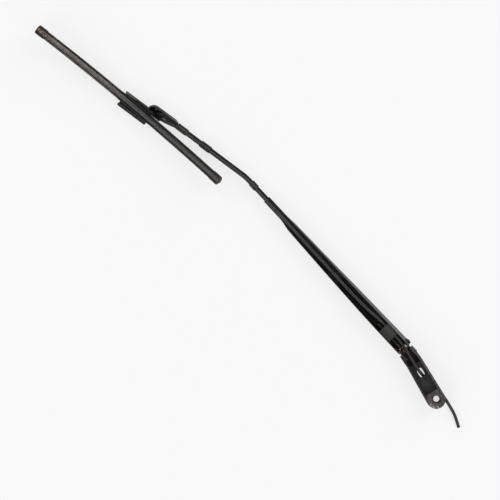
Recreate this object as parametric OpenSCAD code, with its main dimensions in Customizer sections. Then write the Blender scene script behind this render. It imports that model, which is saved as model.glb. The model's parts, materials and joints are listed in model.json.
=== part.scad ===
/* [Head] */
// Radius of the straight part of the spindle bore
bore_r = 4.65; // [3.6:0.05:5.4]
// Length of the straight part of the spindle bore
bore_len = 4; // [2:0.5:7]
// Radius of the tapered bore where it opens on the glass side
taper_r = 6.4; // [5.6:0.1:7.6]
// Radius of the flat seat for the nut
seat_r = 9; // [8:0.25:9.5]
// Height of the head above the nut seat, on the glass side
boss_h = 13; // [11:0.5:16]
// Depth of the pocket for the nut, on the outer side
pocket_depth = 12; // [11:0.5:14]
// Radius of the round end of the head
head_r = 14; // [13.5:0.25:16]
// Sideways offset of the round end from the bore
head_shift = 1; // [0:0.25:2]
// Thickness of the wall round the nut pocket
pocket_wall = 1.6; // [1.2:0.1:2.2]
// Thickness of the side walls on the glass side
rim_wall = 3; // [2.4:0.1:3.6]
// Thickness of the plate between pocket and pad
plate_t = 3; // [2:0.25:4]
// Length of the oval hole for the hose
oval_len = 17; // [16:0.5:18]
// Width of the oval hole for the hose
oval_w = 9.6; // [8.5:0.1:11]
// Distance from the spindle to the middle of the oval hole
oval_x = 44.5; // [44:0.25:45]

/* [Hinge] */
// Distance from the spindle to the hinge axis
hinge_x = 91.5; // [91.5:0.5:95]
// Height of the hinge axis above the outer face
hinge_up = 8; // [7.6:0.1:8.5]
// Radius of the hinge rivets
rivet_r = 2.6; // [2:0.1:3]
// Radius of the knuckle round each hinge rivet
knuckle_r = 5.6; // [5:0.1:5.8]
// Thickness of the head's two cheeks
cheek_t = 2.5; // [2:0.1:2.8]
// Radius of the stud that holds the spring link
stud_r = 2.5; // [2:0.1:2.9]
// Height of the stud above the hinge axis
stud_up = 7.5; // [7:0.1:8]
// Distance of the stud from the hinge axis, towards the spindle
stud_back = 4; // [3.5:0.25:5]
// Running gap round a pin that turns
run_gap = 0.05; // [0.03:0.01:0.09]

/* [Channel] */
// Sideways offset of the channel from the spindle
channel_y = -17.25; // [-18:0.25:-17]
// Outside width of the channel at the hinge
channel_w = 25.5; // [25:0.25:27]
// Height of the channel's edges above the nut seat, at the hinge
channel_top = 10; // [9.5:0.25:11]
// Height of the channel's edges where it narrows
flare_top = 5; // [4.5:0.25:6]
// Thickness of the pressed sheet
sheet_t = 1.3; // [1:0.1:1.5]
// Outside width of the channel where the quick narrowing starts
flare_w = 15.7; // [14.5:0.1:17]
// How far the sloped flank leans out from edge to base at the hinge
flank_lean = 5.8; // [4.5:0.1:6]
// Place along X where the channel starts to taper
taper_x = 140; // [136:1:150]
// Place along X where the quick narrowing starts
flare_x = 332; // [328:1:336]
// Length of the quick narrowing
flare_len = 25; // [20:1:28]
// Length of the crimped neck on the bar
crimp_len = 35; // [25:1:45]
// Height of the outer face above the base, at the neck
neck_rise = 7; // [6.5:0.25:7.5]
// Radius of the pressed corners
corner_r = 5; // [3:0.5:6]

/* [Bar] */
// Width of the flat bar
bar_w = 8; // [7:0.25:9]
// Thickness of the flat bar
bar_t = 4; // [3.5:0.25:4.25]
// Place along X of the bend
bend_x = 437; // [432:1:445]
// Angle of the bend in the bar
bar_turn = 10.2; // [8:0.2:12]
// Radius of the bend
bend_r = 80; // [50:5:120]
// Sideways place of the bar
bar_y = -17.9; // [-18.2:0.1:-17.6]
// Length of a hose clip
clip_len = 18; // [12:1:22]
// Wall of a hose clip
clip_wall = 1; // [0.8:0.1:1.4]

/* [Hose] */
// Outside diameter of the washer hose
hose_d = 4.8; // [4.2:0.1:4.8]

/* [Spring] */
// Outside diameter of the tension spring
coil_d = 9; // [7.5:0.25:9]
// Wire diameter of the tension spring
wire_d = 1.8; // [1.4:0.1:2]
// Number of turns of the tension spring
coil_turns = 26; // [20:1:30]
// Thickness of the spring link
link_t = 2.8; // [2.2:0.1:3]
// Height of the spring link's strap
link_w = 7; // [6:0.25:7.5]

/* [Blade holder] */
// Distance from the bend to the blade's pivot, along the bar
pivot_u = 195.5; // [194:0.5:198]
// Distance from the bar's middle to the blade's pivot, across it
pivot_v = 16; // [15.75:0.05:16.25]
// Radius of the blade's pivot pin
pivot_r = 2; // [1.6:0.1:2.1]
// Length of the cover over the holder
cover_len = 51; // [49:0.5:53]
// Width of the cover over the holder
cover_w = 25.5; // [25:0.25:27]
// Wall of the cover
cover_wall = 2; // [1.6:0.1:2.1]

/* [Blade] */
// Overall length of the blade
blade_len = 356; // [330:1:380]
// How far the blade reaches past its pivot's middle, towards the outer end
blade_shift = 10; // [0:0.2:12]
// Angle between the blade and the bar
blade_skew = 3.2; // [2:0.1:3.4]
// Height of the blade's free arch
blade_arch = 13; // [10:0.5:16]
// Sideways bow of the used blade
blade_bow = 3.85; // [3.6:0.05:4.2]
// Width of the blade over its spring rails
blade_w = 13.2; // [12.8:0.1:13.3]
// Height of the rubber lip above the rails
lip_h = 14; // [12:0.25:16]
// Thickness of a spring rail
rail_t = 0.9; // [0.7:0.05:0.95]
// Height of the spoiler behind the rails
spoiler_h = 11.1; // [10:0.1:11.2]
// Length of an end cap
cap_len = 16; // [12:0.5:20]

/* [Hidden] */
$fn = 48;

hose_r = hose_d / 2;
fit_gap = 0.1;
side_gap = 0.3;
over = 1;

// Levels: the nut seat is at zero and the outer face lies lowest
base_z = -pocket_depth;
hinge_z = base_z + hinge_up;
stud_x = hinge_x - stud_back;
stud_z = hinge_z + stud_up;
neck_z = base_z + neck_rise;
bar_z = neck_z + sheet_t;
bar_top = bar_z + bar_t;
crimp_top = bar_top + sheet_t;

// Channel stations along X
channel_x = hinge_x - 4.5;
neck_x = flare_x + flare_len;
crimp_x = neck_x + crimp_len;
level_x = flare_x - 42;
neck_w = bar_w + 2 * sheet_t + 0.1;
channel_left = channel_y + channel_w / 2;
channel_right = channel_y - channel_w / 2;
edge_arc = hinge_up + fit_gap;

// Head outline
shoulder_x = hinge_x - 9;
knee_x = shoulder_x - 20;
head_left = channel_left + 1.3;
head_right = channel_right + 2.2;
knee_left = head_left + 3.2;
knee_right = head_right + 2;
head_turn = -12.5;
pad_z = 1 + plate_t;
pad_x = 12.5;
step_x = oval_x + oval_len / 2 + 5;
web_t = 3;
web_top = base_z + web_t;

// Cheeks inside the channel walls
cheek_left = channel_left - sheet_t - side_gap - fit_gap;
flank_inner = channel_right + sheet_t;
flank_slope = flank_lean / (channel_top - base_z);
cheek_right = flank_inner + flank_slope * (hinge_up + knuckle_r) + side_gap;
seat_in = cheek_right - side_gap;
seat_out = seat_in - sheet_t;

// Middle of the link, between left cheek and hose
link_y = cheek_left - cheek_t - 2.5 - link_t / 2;
eye_x = 139;
anchor_x = 254;
anchor_z = bar_z + bar_t / 2;
link_tilt = atan((stud_z - anchor_z) / (anchor_x - stud_x));
function line_z(x) = stud_z - (x - stud_x) * tan(link_tilt);

// Middle line of the hose on the bar
hose_z = bar_top + hose_r + fit_gap;
hose_side = bar_w / 2 - hose_r + 0.1;

// Frame of the bar's second stretch: u along it and v across it
function tip(u, v, z) = [
    bend_x + u * cos(bar_turn) - v * sin(bar_turn),
    bar_y + u * sin(bar_turn) + v * cos(bar_turn), z];
bend_run = bend_r * tan(bar_turn / 2);

// Points of the bend at the distance side from the bar's middle line
function bend_line(side) = [for (k = [0 : 6]) let (a = bar_turn * k / 6)
    [bend_x - bend_run + (bend_r - side) * sin(a), bar_y + bend_r - (bend_r - side) * cos(a)]];

// Blade levels: rails above the cover's crest, and the pivot under them
rail_z = base_z + spoiler_h + 0.4;
pivot_h = 6.5;
pivot_z = rail_z - pivot_h;
crest_t = 1.4;
claw_out = 2.4;
claw_in = 1.4;
blade_sag = sqrt(blade_arch * blade_arch + blade_bow * blade_bow);
blade_lean = atan(blade_bow / blade_arch);
blade_r = (pow(blade_len / 2, 2) + pow(blade_sag, 2)) / (2 * blade_sag);
connector_half = 30;
cap_plate = 1.6;
rubber_half = blade_len / 2 - cap_plate;

// Where the nozzle housing begins along the bar, and the middle of its round end
neck_u = pivot_u - cover_len / 2 - 39;
bulb_u = neck_u + 38.8;

// Places of the three hose clips
clip_far = neck_u - 11;
clip_mid = 76;
clip_bend = bend_x - 17;

// Nozzle housing in the frame of the bar
bulb_v = 4.8;
bulb_r = 11.4;
bulb_side = 9.4;
shell_t = 1.5;
shell_low = bar_z - 4;
shell_high = bar_top + 4.2;
shell_lean = 2.7;
tongue_v = 5.6;
tongue_t = 2.8;
tongue_u = neck_u + 35;

// Jets in the housing's outer wall, and the end of the spigot for the hose
jet_us = [bulb_u - 5.2, bulb_u - 0.6];
jet_r = 1.4;
jet_z = bar_z + 2;
jet_v = -3.3;
spigot = [bulb_u - 0.8, 0.9, hose_z + 0.4];

// Colours
paint = [0.09, 0.09, 0.10];
moulding = [0.15, 0.15, 0.16];
rubber = [0.20, 0.19, 0.19];
steel = [0.45, 0.44, 0.43];

// Route of the hose from the head's rim to its cut end, lying flat
TAIL = [[-8, -10.2, 0], [-13, -9.5, 0], [-19, -8.3, 0], [-25, -7, 0], [-31, -5.6, 0],
    [-36, -4.2, 0], [-41, -2.3, 0], [-46, -0.1, 0], [-51, 2.2, 0], [-56, 4.8, 0]];
exit_way = [-10, 0.7, 0];

// Sweeps a round tube through a list of points, with its end faces square to d0 and d1
module tube(points, r, d0 = undef, d1 = undef, sides = 10) {
    n = len(points);
    function way(i) = i == 0 && !is_undef(d0) ? d0 : i == n - 1 && !is_undef(d1) ? d1
        : points[min(i + 1, n - 1)] - points[max(i - 1, 0)];
    function side(i) = let (s = cross(way(i), [0, 0, 1])) s / norm(s);
    function up(i) = let (t = cross(side(i), way(i))) t / norm(t);
    rings = [for (i = [0 : n - 1]) for (k = [0 : sides - 1])
        points[i] + r * (side(i) * cos(360 * k / sides) + up(i) * sin(360 * k / sides))];
    skin = [for (i = [0 : n - 2]) for (k = [0 : sides - 1]) let (m = (k + 1) % sides)
        [i * sides + k, i * sides + m, (i + 1) * sides + m, (i + 1) * sides + k]];
    first = [for (k = [sides - 1 : -1 : 0]) k];
    last = [for (k = [0 : sides - 1]) (n - 1) * sides + k];
    polyhedron(rings, concat(skin, [first, last]));
}

// Joins a row of sections, each with the same number of points
module loft(sections) {
    n = len(sections);
    m = len(sections[0]);
    points = [for (s = sections) for (p = s) p];
    skin = [for (i = [0 : n - 2]) for (k = [0 : m - 1]) let (q = (k + 1) % m)
        for (f = [[i * m + k, i * m + q, (i + 1) * m + k],
            [(i + 1) * m + k, i * m + q, (i + 1) * m + q]]) f];
    first = [for (k = [m - 1 : -1 : 0]) k];
    last = [for (k = [0 : m - 1]) (n - 1) * m + k];
    polyhedron(points, concat(skin, [first, last]));
}

// Moves its children into the frame of the bar's second stretch
module at_tip(u = 0, v = 0, z = 0) {
    translate(tip(u, v, z)) rotate([0, 0, bar_turn]) children();
}

// Extrudes a drawing of X and Z across, from y1 down to y0
module across(y0, y1) {
    translate([0, y1, 0]) rotate([90, 0, 0]) linear_extrude(y1 - y0) children();
}

// Point where the line from k touches the circle at c, on the side given by sign
function touch(c, r, k, sign) = let (d = k - c, l = norm(d), a = acos(r / l),
    b = atan2(d[1], d[0]) + sign * a) c + r * [cos(b), sin(b)];

// Plan of the head, drawn in by a wall
module head_plan(inset, right_extra = 0) {
    c = [0, head_shift];
    r = head_r - inset;
    kl = [knee_x, knee_left - inset];
    kr = [knee_x, knee_right + inset + right_extra];
    translate(c) circle(r);
    polygon([touch(c, r, kl, 1), kl, [shoulder_x, head_left - inset],
        [shoulder_x, head_right + inset + right_extra], kr, touch(c, r, kr, -1), c]);
}

// Plan of everything further from the spindle than d, square to the head
module beyond(d, length = 150) {
    rotate(head_turn) translate([d, -60]) square([length, 120]);
}

module oval_hole() {
    rotate([0, 0, head_turn]) for (s = [-1, 1])
        translate([oval_x / cos(head_turn) + s * (oval_len - oval_w) / 2, 0, 0])
            cylinder(h = 2 * boss_h, r = oval_w / 2, center = true);
    rotate([0, 0, head_turn]) translate([oval_x / cos(head_turn), 0, 0])
        cube([oval_len - oval_w, oval_w, 2 * boss_h], center = true);
}

module head_side() {
    polygon([[-head_r - over, base_z], [shoulder_x - 5, base_z], [shoulder_x, base_z + 4],
        [shoulder_x, channel_top - 0.5], [pad_x + 4, boss_h], [-head_r - over, boss_h]]);
}

// Side view of a cheek, with room below for the channel's base to swing past
module cheek_side(stud_boss) {
    translate([hinge_x, hinge_z]) circle(knuckle_r);
    polygon([[shoulder_x - 10, web_top - over], [shoulder_x + 0.4, web_top + 0.2],
        [hinge_x + knuckle_r * cos(212), hinge_z + knuckle_r * sin(212)],
        [hinge_x, hinge_z], [hinge_x + knuckle_r * cos(75), hinge_z + knuckle_r * sin(75)],
        [shoulder_x + 2, hinge_z + knuckle_r + 0.5], [shoulder_x - 10, hinge_z + knuckle_r + 2]]);
    if (stud_boss) {
        translate([stud_x, stud_z]) circle(5);
        polygon([[stud_x, stud_z - 5], [stud_x, stud_z + 5], [shoulder_x - 10, stud_z + 5],
            [shoulder_x - 10, web_top]]);
    }
}

// Side view of the web's end, which reaches under the hinge as far as the folded channel allows
module web_end() {
    polygon([[shoulder_x - 8, base_z], [hinge_x - 5.1, base_z], [hinge_x - 6.9, web_top],
        [shoulder_x - 8, web_top]]);
}

module mounting_head() {
    color(paint) difference() {
        union() {
            difference() {
                intersection() {
                    translate([0, 0, base_z]) linear_extrude(boss_h - base_z) head_plan(0);
                    across(-60, 60) head_side();
                }
                translate([0, 0, pad_z]) linear_extrude(boss_h) intersection() {
                    head_plan(rim_wall, 0.7);
                    beyond(pad_x);
                }
                translate([0, 0, web_top]) linear_extrude(boss_h - base_z) intersection() {
                    head_plan(rim_wall, 0.7);
                    beyond(step_x + 3);
                }
                translate([shoulder_x - over, head_right + rim_wall + 0.7, web_top])
                    cube([2 * over, head_left - head_right - 2 * rim_wall - 0.7, 60]);
                translate([0, 0, base_z - over]) linear_extrude(over - base_z + 1) difference() {
                    head_plan(pocket_wall);
                    beyond(step_x);
                }
            }
            translate([0, 0, 0]) cylinder(h = 2, r = seat_r);
            across(cheek_left - cheek_t, cheek_left) cheek_side(true);
            across(cheek_right, cheek_right + cheek_t) cheek_side(false);
            across(cheek_right, cheek_left) web_end();
            across(cheek_left - cheek_t, head_left) square_side();
            across(head_right, cheek_right + cheek_t) square_side();
        }
        translate([0, 0, -over]) cylinder(h = bore_len + 2 * over, r = bore_r);
        translate([0, 0, bore_len]) cylinder(h = boss_h - bore_len, r1 = bore_r, r2 = taper_r);
        translate([0, 0, boss_h - over / 2]) cylinder(h = over, r = taper_r);
        oval_hole();
        across(-60, 60) translate([hinge_x, hinge_z]) circle(rivet_r + run_gap);
        across(cheek_left - cheek_t - over, cheek_left + over)
            translate([stud_x, stud_z]) circle(stud_r);
        translate([-head_r - over, TAIL[0][1] - hose_r - 0.4, base_z - over])
            cube([head_r + 7, hose_d + 0.8, hose_d + over + 0.6]);
    }
}

// Side view of the solid root that joins a cheek to the head's wall
module square_side() {
    polygon([[shoulder_x - 10, web_top - over], [shoulder_x, web_top - over],
        [shoulder_x, channel_top - 0.6], [shoulder_x - 10, channel_top - 0.3]]);
}

module spring_stud() {
    inner = cheek_left - cheek_t;
    color(steel) union() {
        across(link_y - link_t / 2 - 1.6, cheek_left) translate([stud_x, stud_z]) circle(stud_r);
        across(link_y + link_t / 2 + fit_gap, inner) translate([stud_x, stud_z]) circle(3.5);
        across(link_y - link_t / 2 - 1.6, link_y - link_t / 2 - fit_gap)
            translate([stud_x, stud_z]) circle(4);
    }
}

// Right rivet with its domed head, and the left one set flush
module hinge_rivet_right() {
    dome_y = seat_out;
    color(steel) union() {
        across(seat_out, cheek_right + cheek_t + 1.2) translate([hinge_x, hinge_z]) circle(rivet_r);
        across(cheek_right + cheek_t + fit_gap, cheek_right + cheek_t + 1.2)
            translate([hinge_x, hinge_z]) circle(4);
        translate([hinge_x, dome_y, hinge_z]) rotate([90, 0, 0]) intersection() {
            cylinder(h = 4.2, r = 4.5);
            translate([0, 0, 4.2 - 8]) sphere(8);
        }
    }
}

module hinge_rivet_left() {
    color(steel) union() {
        across(cheek_left - cheek_t - 1.2, channel_left)
            translate([hinge_x, hinge_z]) circle(rivet_r);
        across(cheek_left - cheek_t - 1.2, cheek_left - cheek_t - fit_gap)
            translate([hinge_x, hinge_z]) circle(4);
    }
}

// Shape of the channel at each place along X
function along(x) = max(0, min(1, (x - taper_x) / (flare_x - taper_x)));
function flaring(x) = let (t = max(0, min(1, (x - flare_x) / flare_len))) t * t * (3 - 2 * t);
function width_at(x) = (channel_w + (flare_w - channel_w) * pow(along(x), 1.4))
    * (1 - flaring(x)) + neck_w * flaring(x);
function middle_at(x) = channel_y + (bar_y - channel_y) * flaring(x);
function low_at(x) = base_z + neck_rise * max(0, min(1, (x - hinge_x) / (level_x - hinge_x)));
function high_at(x) = (channel_top + (flare_top - channel_top) * (x - hinge_x) / (flare_x - hinge_x))
    * (1 - flaring(x)) + crimp_top * flaring(x);
function lean_at(x) = flank_lean * pow(max(0, width_at(x) - neck_w) / (channel_w - neck_w), 0.95);
function round_at(x) = min(2.2 + (corner_r - 2.2) * max(0, min(1, (x - 100) / 40)),
    1.5 + (corner_r - 1.5) * max(0, min(1, (flare_x - x) / 62)));

// Section of the channel: a flat wall, a base with round corners and a sloped flank
function channel_section(x, inset, rise, steps = 5) = let (
    left = middle_at(x) + width_at(x) / 2 - inset,
    right = middle_at(x) - width_at(x) / 2 + inset,
    low = low_at(x) + inset,
    high = high_at(x) + rise,
    r = max(0.4, round_at(x) - inset),
    slope = lean_at(x) / (high_at(x) - low_at(x)))
    concat([[x, left, high]],
        [for (k = [0 : steps]) let (a = -90 * k / steps)
            [x, left - r + r * cos(a), low + r + r * sin(a)]],
        [for (k = [0 : steps]) let (a = -90 - 90 * k / steps)
            [x, right + r + r * cos(a) + slope * r * k / steps, low + r + r * sin(a)]],
        [[x, right + slope * (high - low), high]]);

channel_xs = concat([channel_x, hinge_x + 1, 110, taper_x],
    [for (k = [1 : 8]) taper_x + (level_x - taper_x) * k / 8],
    [flare_x - 20, flare_x],
    [for (k = [1 : 5]) flare_x + flare_len * k / 5]);

// Side views of the opening before the channel's base, and of the base's tongue between the cheeks
module base_cut(end_x) {
    translate([channel_x - over, base_z - over]) square([end_x - channel_x + over, sheet_t + over + 0.4]);
}
module base_tongue() {
    translate([hinge_x - 1, base_z - 2 * over]) square([3 * over, sheet_t + 4 * over]);
}

module arm_channel() {
    color(paint) difference() {
        union() {
            difference() {
                loft([for (x = channel_xs) channel_section(x, 0, 0)]);
                loft([for (x = channel_xs) channel_section(
                    x == channel_x ? x - over : x == neck_x ? x + over : x, sheet_t, 3)]);
            }
            across(seat_out, seat_in) translate([hinge_x, hinge_z]) circle(5.6);
            translate([neck_x, bar_y - neck_w / 2, neck_z])
                cube([crimp_len, neck_w, crimp_top - neck_z]);
        }
        across(channel_right - over, seat_out) translate([hinge_x, hinge_z]) circle(5);
        across(-60, 60) translate([hinge_x, hinge_z]) circle(rivet_r);
        across(-60, 60) difference() {
            translate([hinge_x - 30, hinge_z - 30]) square([30, 30]);
            translate([hinge_x, hinge_z]) circle(edge_arc);
        }
        difference() {
            across(flank_inner, channel_left - sheet_t) base_cut(hinge_x + over);
            across(cheek_right + cheek_t + 0.5, cheek_left - cheek_t - 0.5) base_tongue();
        }
        translate([neck_x - over, bar_y - bar_w / 2, bar_z]) cube([crimp_len + 2 * over, bar_w, bar_t]);
        translate([neck_x - over, bar_y - 2, bar_top - over])
            cube([crimp_len + 2 * over, 4, sheet_t + 2 * over]);
        for (x = rivet_xs) translate([x, bar_y, neck_z - over]) cylinder(h = 10, r = 2);
    }
}

rivet_xs = [level_x + 14, level_x + 36];

// The flat bar: a hooked end in the channel, a bend, and a set end with a tongue
module arm_bar() {
    start = anchor_x - 5;
    color(paint) difference() {
        union() {
            translate([0, 0, bar_z]) linear_extrude(bar_t) polygon(concat(
                [[start, bar_y - bar_w / 2]], bend_line(-bar_w / 2),
                [for (p = [[neck_u - 4, -bar_w / 2], [neck_u + 3, -3], [neck_u + 27, -3],
                    [tongue_u + 4, tongue_v], [tongue_u + 12, tongue_v],
                    [tongue_u + 12, tongue_v + tongue_t], [tongue_u, tongue_v + tongue_t],
                    [neck_u + 26, 2.2], [neck_u + 3, 2.5], [neck_u - 4, bar_w / 2]])
                    [tip(p[0], p[1], 0)[0], tip(p[0], p[1], 0)[1]]],
                [for (k = [6 : -1 : 0]) bend_line(bar_w / 2)[k]],
                [[start, bar_y + bar_w / 2]]));
            at_tip(0, tongue_v + tongue_t, 0) rotate([90, 0, 0]) linear_extrude(tongue_t) union() {
                translate([pivot_u, pivot_z]) circle(2.9);
                polygon([[tongue_u + 3, bar_z - 2], [tongue_u + 9, pivot_z - 2.9],
                    [pivot_u, pivot_z - 2.9], [pivot_u + 2.9, pivot_z], [pivot_u + 2.9, bar_top - 1],
                    [pivot_u + 1.9, bar_top], [tongue_u + 3, bar_top]]);
            }
        }
        translate([anchor_x, bar_y, bar_z - over]) cylinder(h = bar_t + 2 * over, r = 2);
        for (x = rivet_xs) translate([x, bar_y, bar_z - over]) cylinder(h = bar_t + 2 * over, r = 2);
        at_tip(pivot_u, tongue_v + tongue_t + over, pivot_z) rotate([90, 0, 0])
            cylinder(h = tongue_t + 2 * over, r = pivot_r);
    }
}

module bar_rivets() {
    color(steel) for (x = rivet_xs) translate([x, bar_y, neck_z]) union() {
        cylinder(h = sheet_t + bar_t, r = 2);
        translate([0, 0, -1.2]) cylinder(h = 1.2, r1 = 2.6, r2 = 3.3);
        translate([0, 0, sheet_t + bar_t]) cylinder(h = 1, r1 = 3.1, r2 = 2.4);
    }
}

// Moulded guide that holds the hose in the mouth of the channel
guide_x = 111;
guide_len = 21;
guide_top = high_at(guide_x) - 0.4;
guide_hose = [-19.4, guide_top - 2.8 - hose_r];
module hose_guide() {
    x1 = guide_x + guide_len;
    wide_left = middle_at(x1) + width_at(x1) / 2 - sheet_t;
    low = guide_top - 2.8;
    slope = lean_at(x1) / (high_at(x1) - low_at(x1));
    function flank(z) = middle_at(x1) - width_at(x1) / 2 + sheet_t + slope * (z - low_at(x1)) + 0.25;
    color(moulding) translate([guide_x, 0, 0]) rotate([90, 0, 90]) linear_extrude(guide_len)
        difference() {
            union() {
                polygon([[wide_left, guide_top - 0.6], [wide_left - 0.6, guide_top],
                    [flank(guide_top) + 0.6, guide_top], [flank(guide_top - 0.6), guide_top - 0.6],
                    [flank(low - 5), low - 5], [flank(low - 5) + 1.4, low - 5],
                    [flank(low) + 1.6, low], [guide_hose[0] + 2.8, low], [guide_hose[0] + 2.8, low - 3],
                    [guide_hose[0] + 4.2, low - 3], [guide_hose[0] + 4.2, low],
                    [wide_left - 1.6, low], [wide_left - 1.4, low - 5], [wide_left, low - 5]]);
            }
            translate(guide_hose) circle(hose_r + fit_gap);
        }
}

// Flat link with an open hook for the stud and an eye for the spring
module spring_link() {
    drop = line_z(eye_x);
    color(steel) across(link_y - link_t / 2, link_y + link_t / 2) difference() {
        union() {
            translate([stud_x, stud_z]) circle(5.4);
            polygon([[stud_x, stud_z + 5.4], [stud_x + 12, line_z(stud_x + 12) + link_w / 2],
                [eye_x, drop + link_w / 2], [eye_x, drop - link_w / 2],
                [stud_x + 12, line_z(stud_x + 12) - link_w / 2], [stud_x, stud_z - 5.4]]);
            translate([eye_x, drop]) circle(link_w / 2);
        }
        translate([stud_x, stud_z]) circle(stud_r + run_gap);
        translate([stud_x, stud_z]) rotate(65) translate([0, -0.85 * stud_r])
            square([3 * stud_r, 1.7 * stud_r]);
        translate([eye_x, drop]) circle(wire_d / 2 + 0.6);
    }
}

// Helical tension spring with a loop at each end
coil_x0 = eye_x + 10;
coil_x1 = anchor_x - 26;
coil_mid = (coil_d - wire_d) / 2;
coil_y = (link_y + bar_y) / 2;
function on_line(x, y, dz) = [x, y, line_z(x) + dz];
module tension_spring() {
    steps = 12;
    helix = [for (i = [0 : coil_turns * steps]) let (
        a = 180 + 360 * i / steps, x = coil_x0 + (coil_x1 - coil_x0) * i / (coil_turns * steps))
        on_line(x, coil_y + coil_mid * cos(a), coil_mid * sin(a))];
    front = [on_line(eye_x + 0.2, link_y + link_t / 2 + 1.3, 0), on_line(eye_x + 0.2, link_y, 0),
        on_line(eye_x + 0.3, link_y - link_t / 2 - 1, 0), on_line(eye_x + 1.8, link_y - 4, 0),
        on_line(eye_x + 5, coil_y - 2.4, 0)];
    back = [on_line(coil_x1 + 3, coil_y - coil_mid * 0.4, 3), on_line(coil_x1 + 9, coil_y - 1.4, 3.4),
        on_line(anchor_x - 8, bar_y, 3.6), on_line(anchor_x - 2.4, bar_y, 3.6),
        on_line(anchor_x - 0.7, bar_y, 3), on_line(anchor_x, bar_y, 1.8),
        on_line(anchor_x, bar_y, -2.3)];
    color(steel) wire(concat(front, helix, back), wire_d / 2, 5);
}

// Sweeps a wire that may turn any way, carrying its rings along without a twist
module wire(points, r, sides) {
    n = len(points);
    function way(i) = let (w = points[min(i + 1, n - 1)] - points[max(i - 1, 0)]) w / norm(w);
    function squared(o, w) = let (q = o - w * (o * w)) q / norm(q);
    outs = [for (i = 0, o = [0, 0, 1]; i < n; i = i + 1, o = i < n ? squared(o, way(i)) : o) o];
    rings = [for (i = [0 : n - 1]) let (s = cross(way(i), outs[i])) for (k = [0 : sides - 1])
        points[i] + r * (outs[i] * cos(360 * k / sides) + s * sin(360 * k / sides))];
    skin = [for (i = [0 : n - 2]) for (k = [0 : sides - 1]) let (m = (k + 1) % sides)
        for (f = [[i * sides + k, (i + 1) * sides + k, i * sides + m],
            [(i + 1) * sides + k, (i + 1) * sides + m, i * sides + m]]) f];
    first = [for (k = [0 : sides - 1]) k];
    last = [for (k = [sides - 1 : -1 : 0]) (n - 1) * sides + k];
    polyhedron(rings, concat(skin, [first, last]));
}

// Stretches of the washer hose that the arm holds
hose_top = crimp_top + hose_r + fit_gap;
coil_over = line_z(coil_x0) + coil_d / 2 + hose_r + side_gap;
HOSE_IN = [shoulder_x + 1, -18.2, guide_hose[1] + 0.2];
HOSE_OUT = [hinge_x + 9, -19.2, guide_hose[1]];
GUIDE_WAY = [-10, 0.4, 0];
HINGE_WAY = [-10, 1, 0.6];
ARM_HOSE = [tip(spigot[0], spigot[1], spigot[2]), tip(spigot[0], 2.6, spigot[2]),
    tip(bulb_u - 2.6, 4.8, hose_z + 0.5), tip(bulb_u - 8, 6.3, hose_z + 0.4), tip(neck_u + 23, 6.4, hose_z + 0.2), tip(neck_u + 16, 5.4, hose_z),
    tip(neck_u + 8, 3.8, hose_z), tip(neck_u + 1, 2.4, hose_z), tip(clip_far + clip_len / 2, hose_side, hose_z),
    tip(clip_far - clip_len / 2, hose_side, hose_z),
    tip((clip_far + clip_mid) / 2, hose_side, hose_z),
    tip(clip_mid + clip_len / 2, hose_side, hose_z), tip(clip_mid - clip_len / 2, hose_side, hose_z),
    tip(48, hose_side, hose_z), tip(30, hose_side, hose_z), tip(14, hose_side, hose_z),
    tip(5, hose_side - 0.2, hose_z), [bend_x - 6, bar_y + hose_side - 0.1, hose_z],
    [clip_bend - clip_len / 2, bar_y + hose_side, hose_z], [crimp_x + 4, bar_y + hose_side, hose_z + 0.4],
    [crimp_x - 8, bar_y + hose_side, hose_top], [neck_x + 6, bar_y + hose_side, hose_top],
    [flare_x + 6, bar_y + hose_side, hose_top + 0.3], [310, -15.8, hose_top + 0.6],
    [285, -15.6, hose_top + 1], [262, -15.6, hose_top + 1.6], [240, -15.6, coil_over - 1.6],
    [220, -15.6, coil_over - 0.7], [190, -15.6, coil_over + 0.1], [165, -15.8, coil_over + 0.4],
    [154, -16.6, coil_over + 0.2], [148, -17.2, coil_over - 0.3], [142, -18.2, coil_over - 2],
    [137, -18.9, guide_hose[1] + 0.7],
    [guide_x + guide_len, guide_hose[0], guide_hose[1]], [guide_x, guide_hose[0], guide_hose[1]],
    HOSE_OUT];

module hose_arm() {
    color(rubber) tube(ARM_HOSE, hose_r, [-sin(bar_turn), cos(bar_turn), 0], GUIDE_WAY);
}

module hose_hinge() {
    color(rubber) tube([HOSE_OUT, [hinge_x + 4, -18.9, guide_hose[1] - 0.05],
        [hinge_x - 2, -18.6, guide_hose[1] - 0.05], HOSE_IN], hose_r, GUIDE_WAY, HINGE_WAY);
}

module hose_head() {
    color(rubber) tube([HOSE_IN, [77, -17.3, guide_hose[1] + 0.7], [70, -15.7, guide_hose[1] + 2],
        [63, -14.1, pad_z + hose_r + 0.7], [58, -13, pad_z + hose_r + 0.9],
        [54, -12.1, pad_z + hose_r + 0.5], [50, -11.3, pad_z + 1.6], [46, -10.5, pad_z - 0.9],
        [42, -9.9, pad_z - 3.5], [38, -9.7, pad_z - 6.1], [34, -9.8, pad_z - 8.3],
        [30, -10, base_z + hose_r + 1.7], [25, -10.2, base_z + hose_r + 0.6],
        [19, -10.3, base_z + hose_r + 0.1], [11, -10.3, base_z + hose_r], [2, -10.3, base_z + hose_r],
        [TAIL[0][0], TAIL[0][1], base_z + hose_r]], hose_r, HINGE_WAY, exit_way);
}

module hose_tail() {
    color(rubber) tube([for (p = TAIL) p + [0, 0, base_z + hose_r]], hose_r, exit_way);
}

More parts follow.
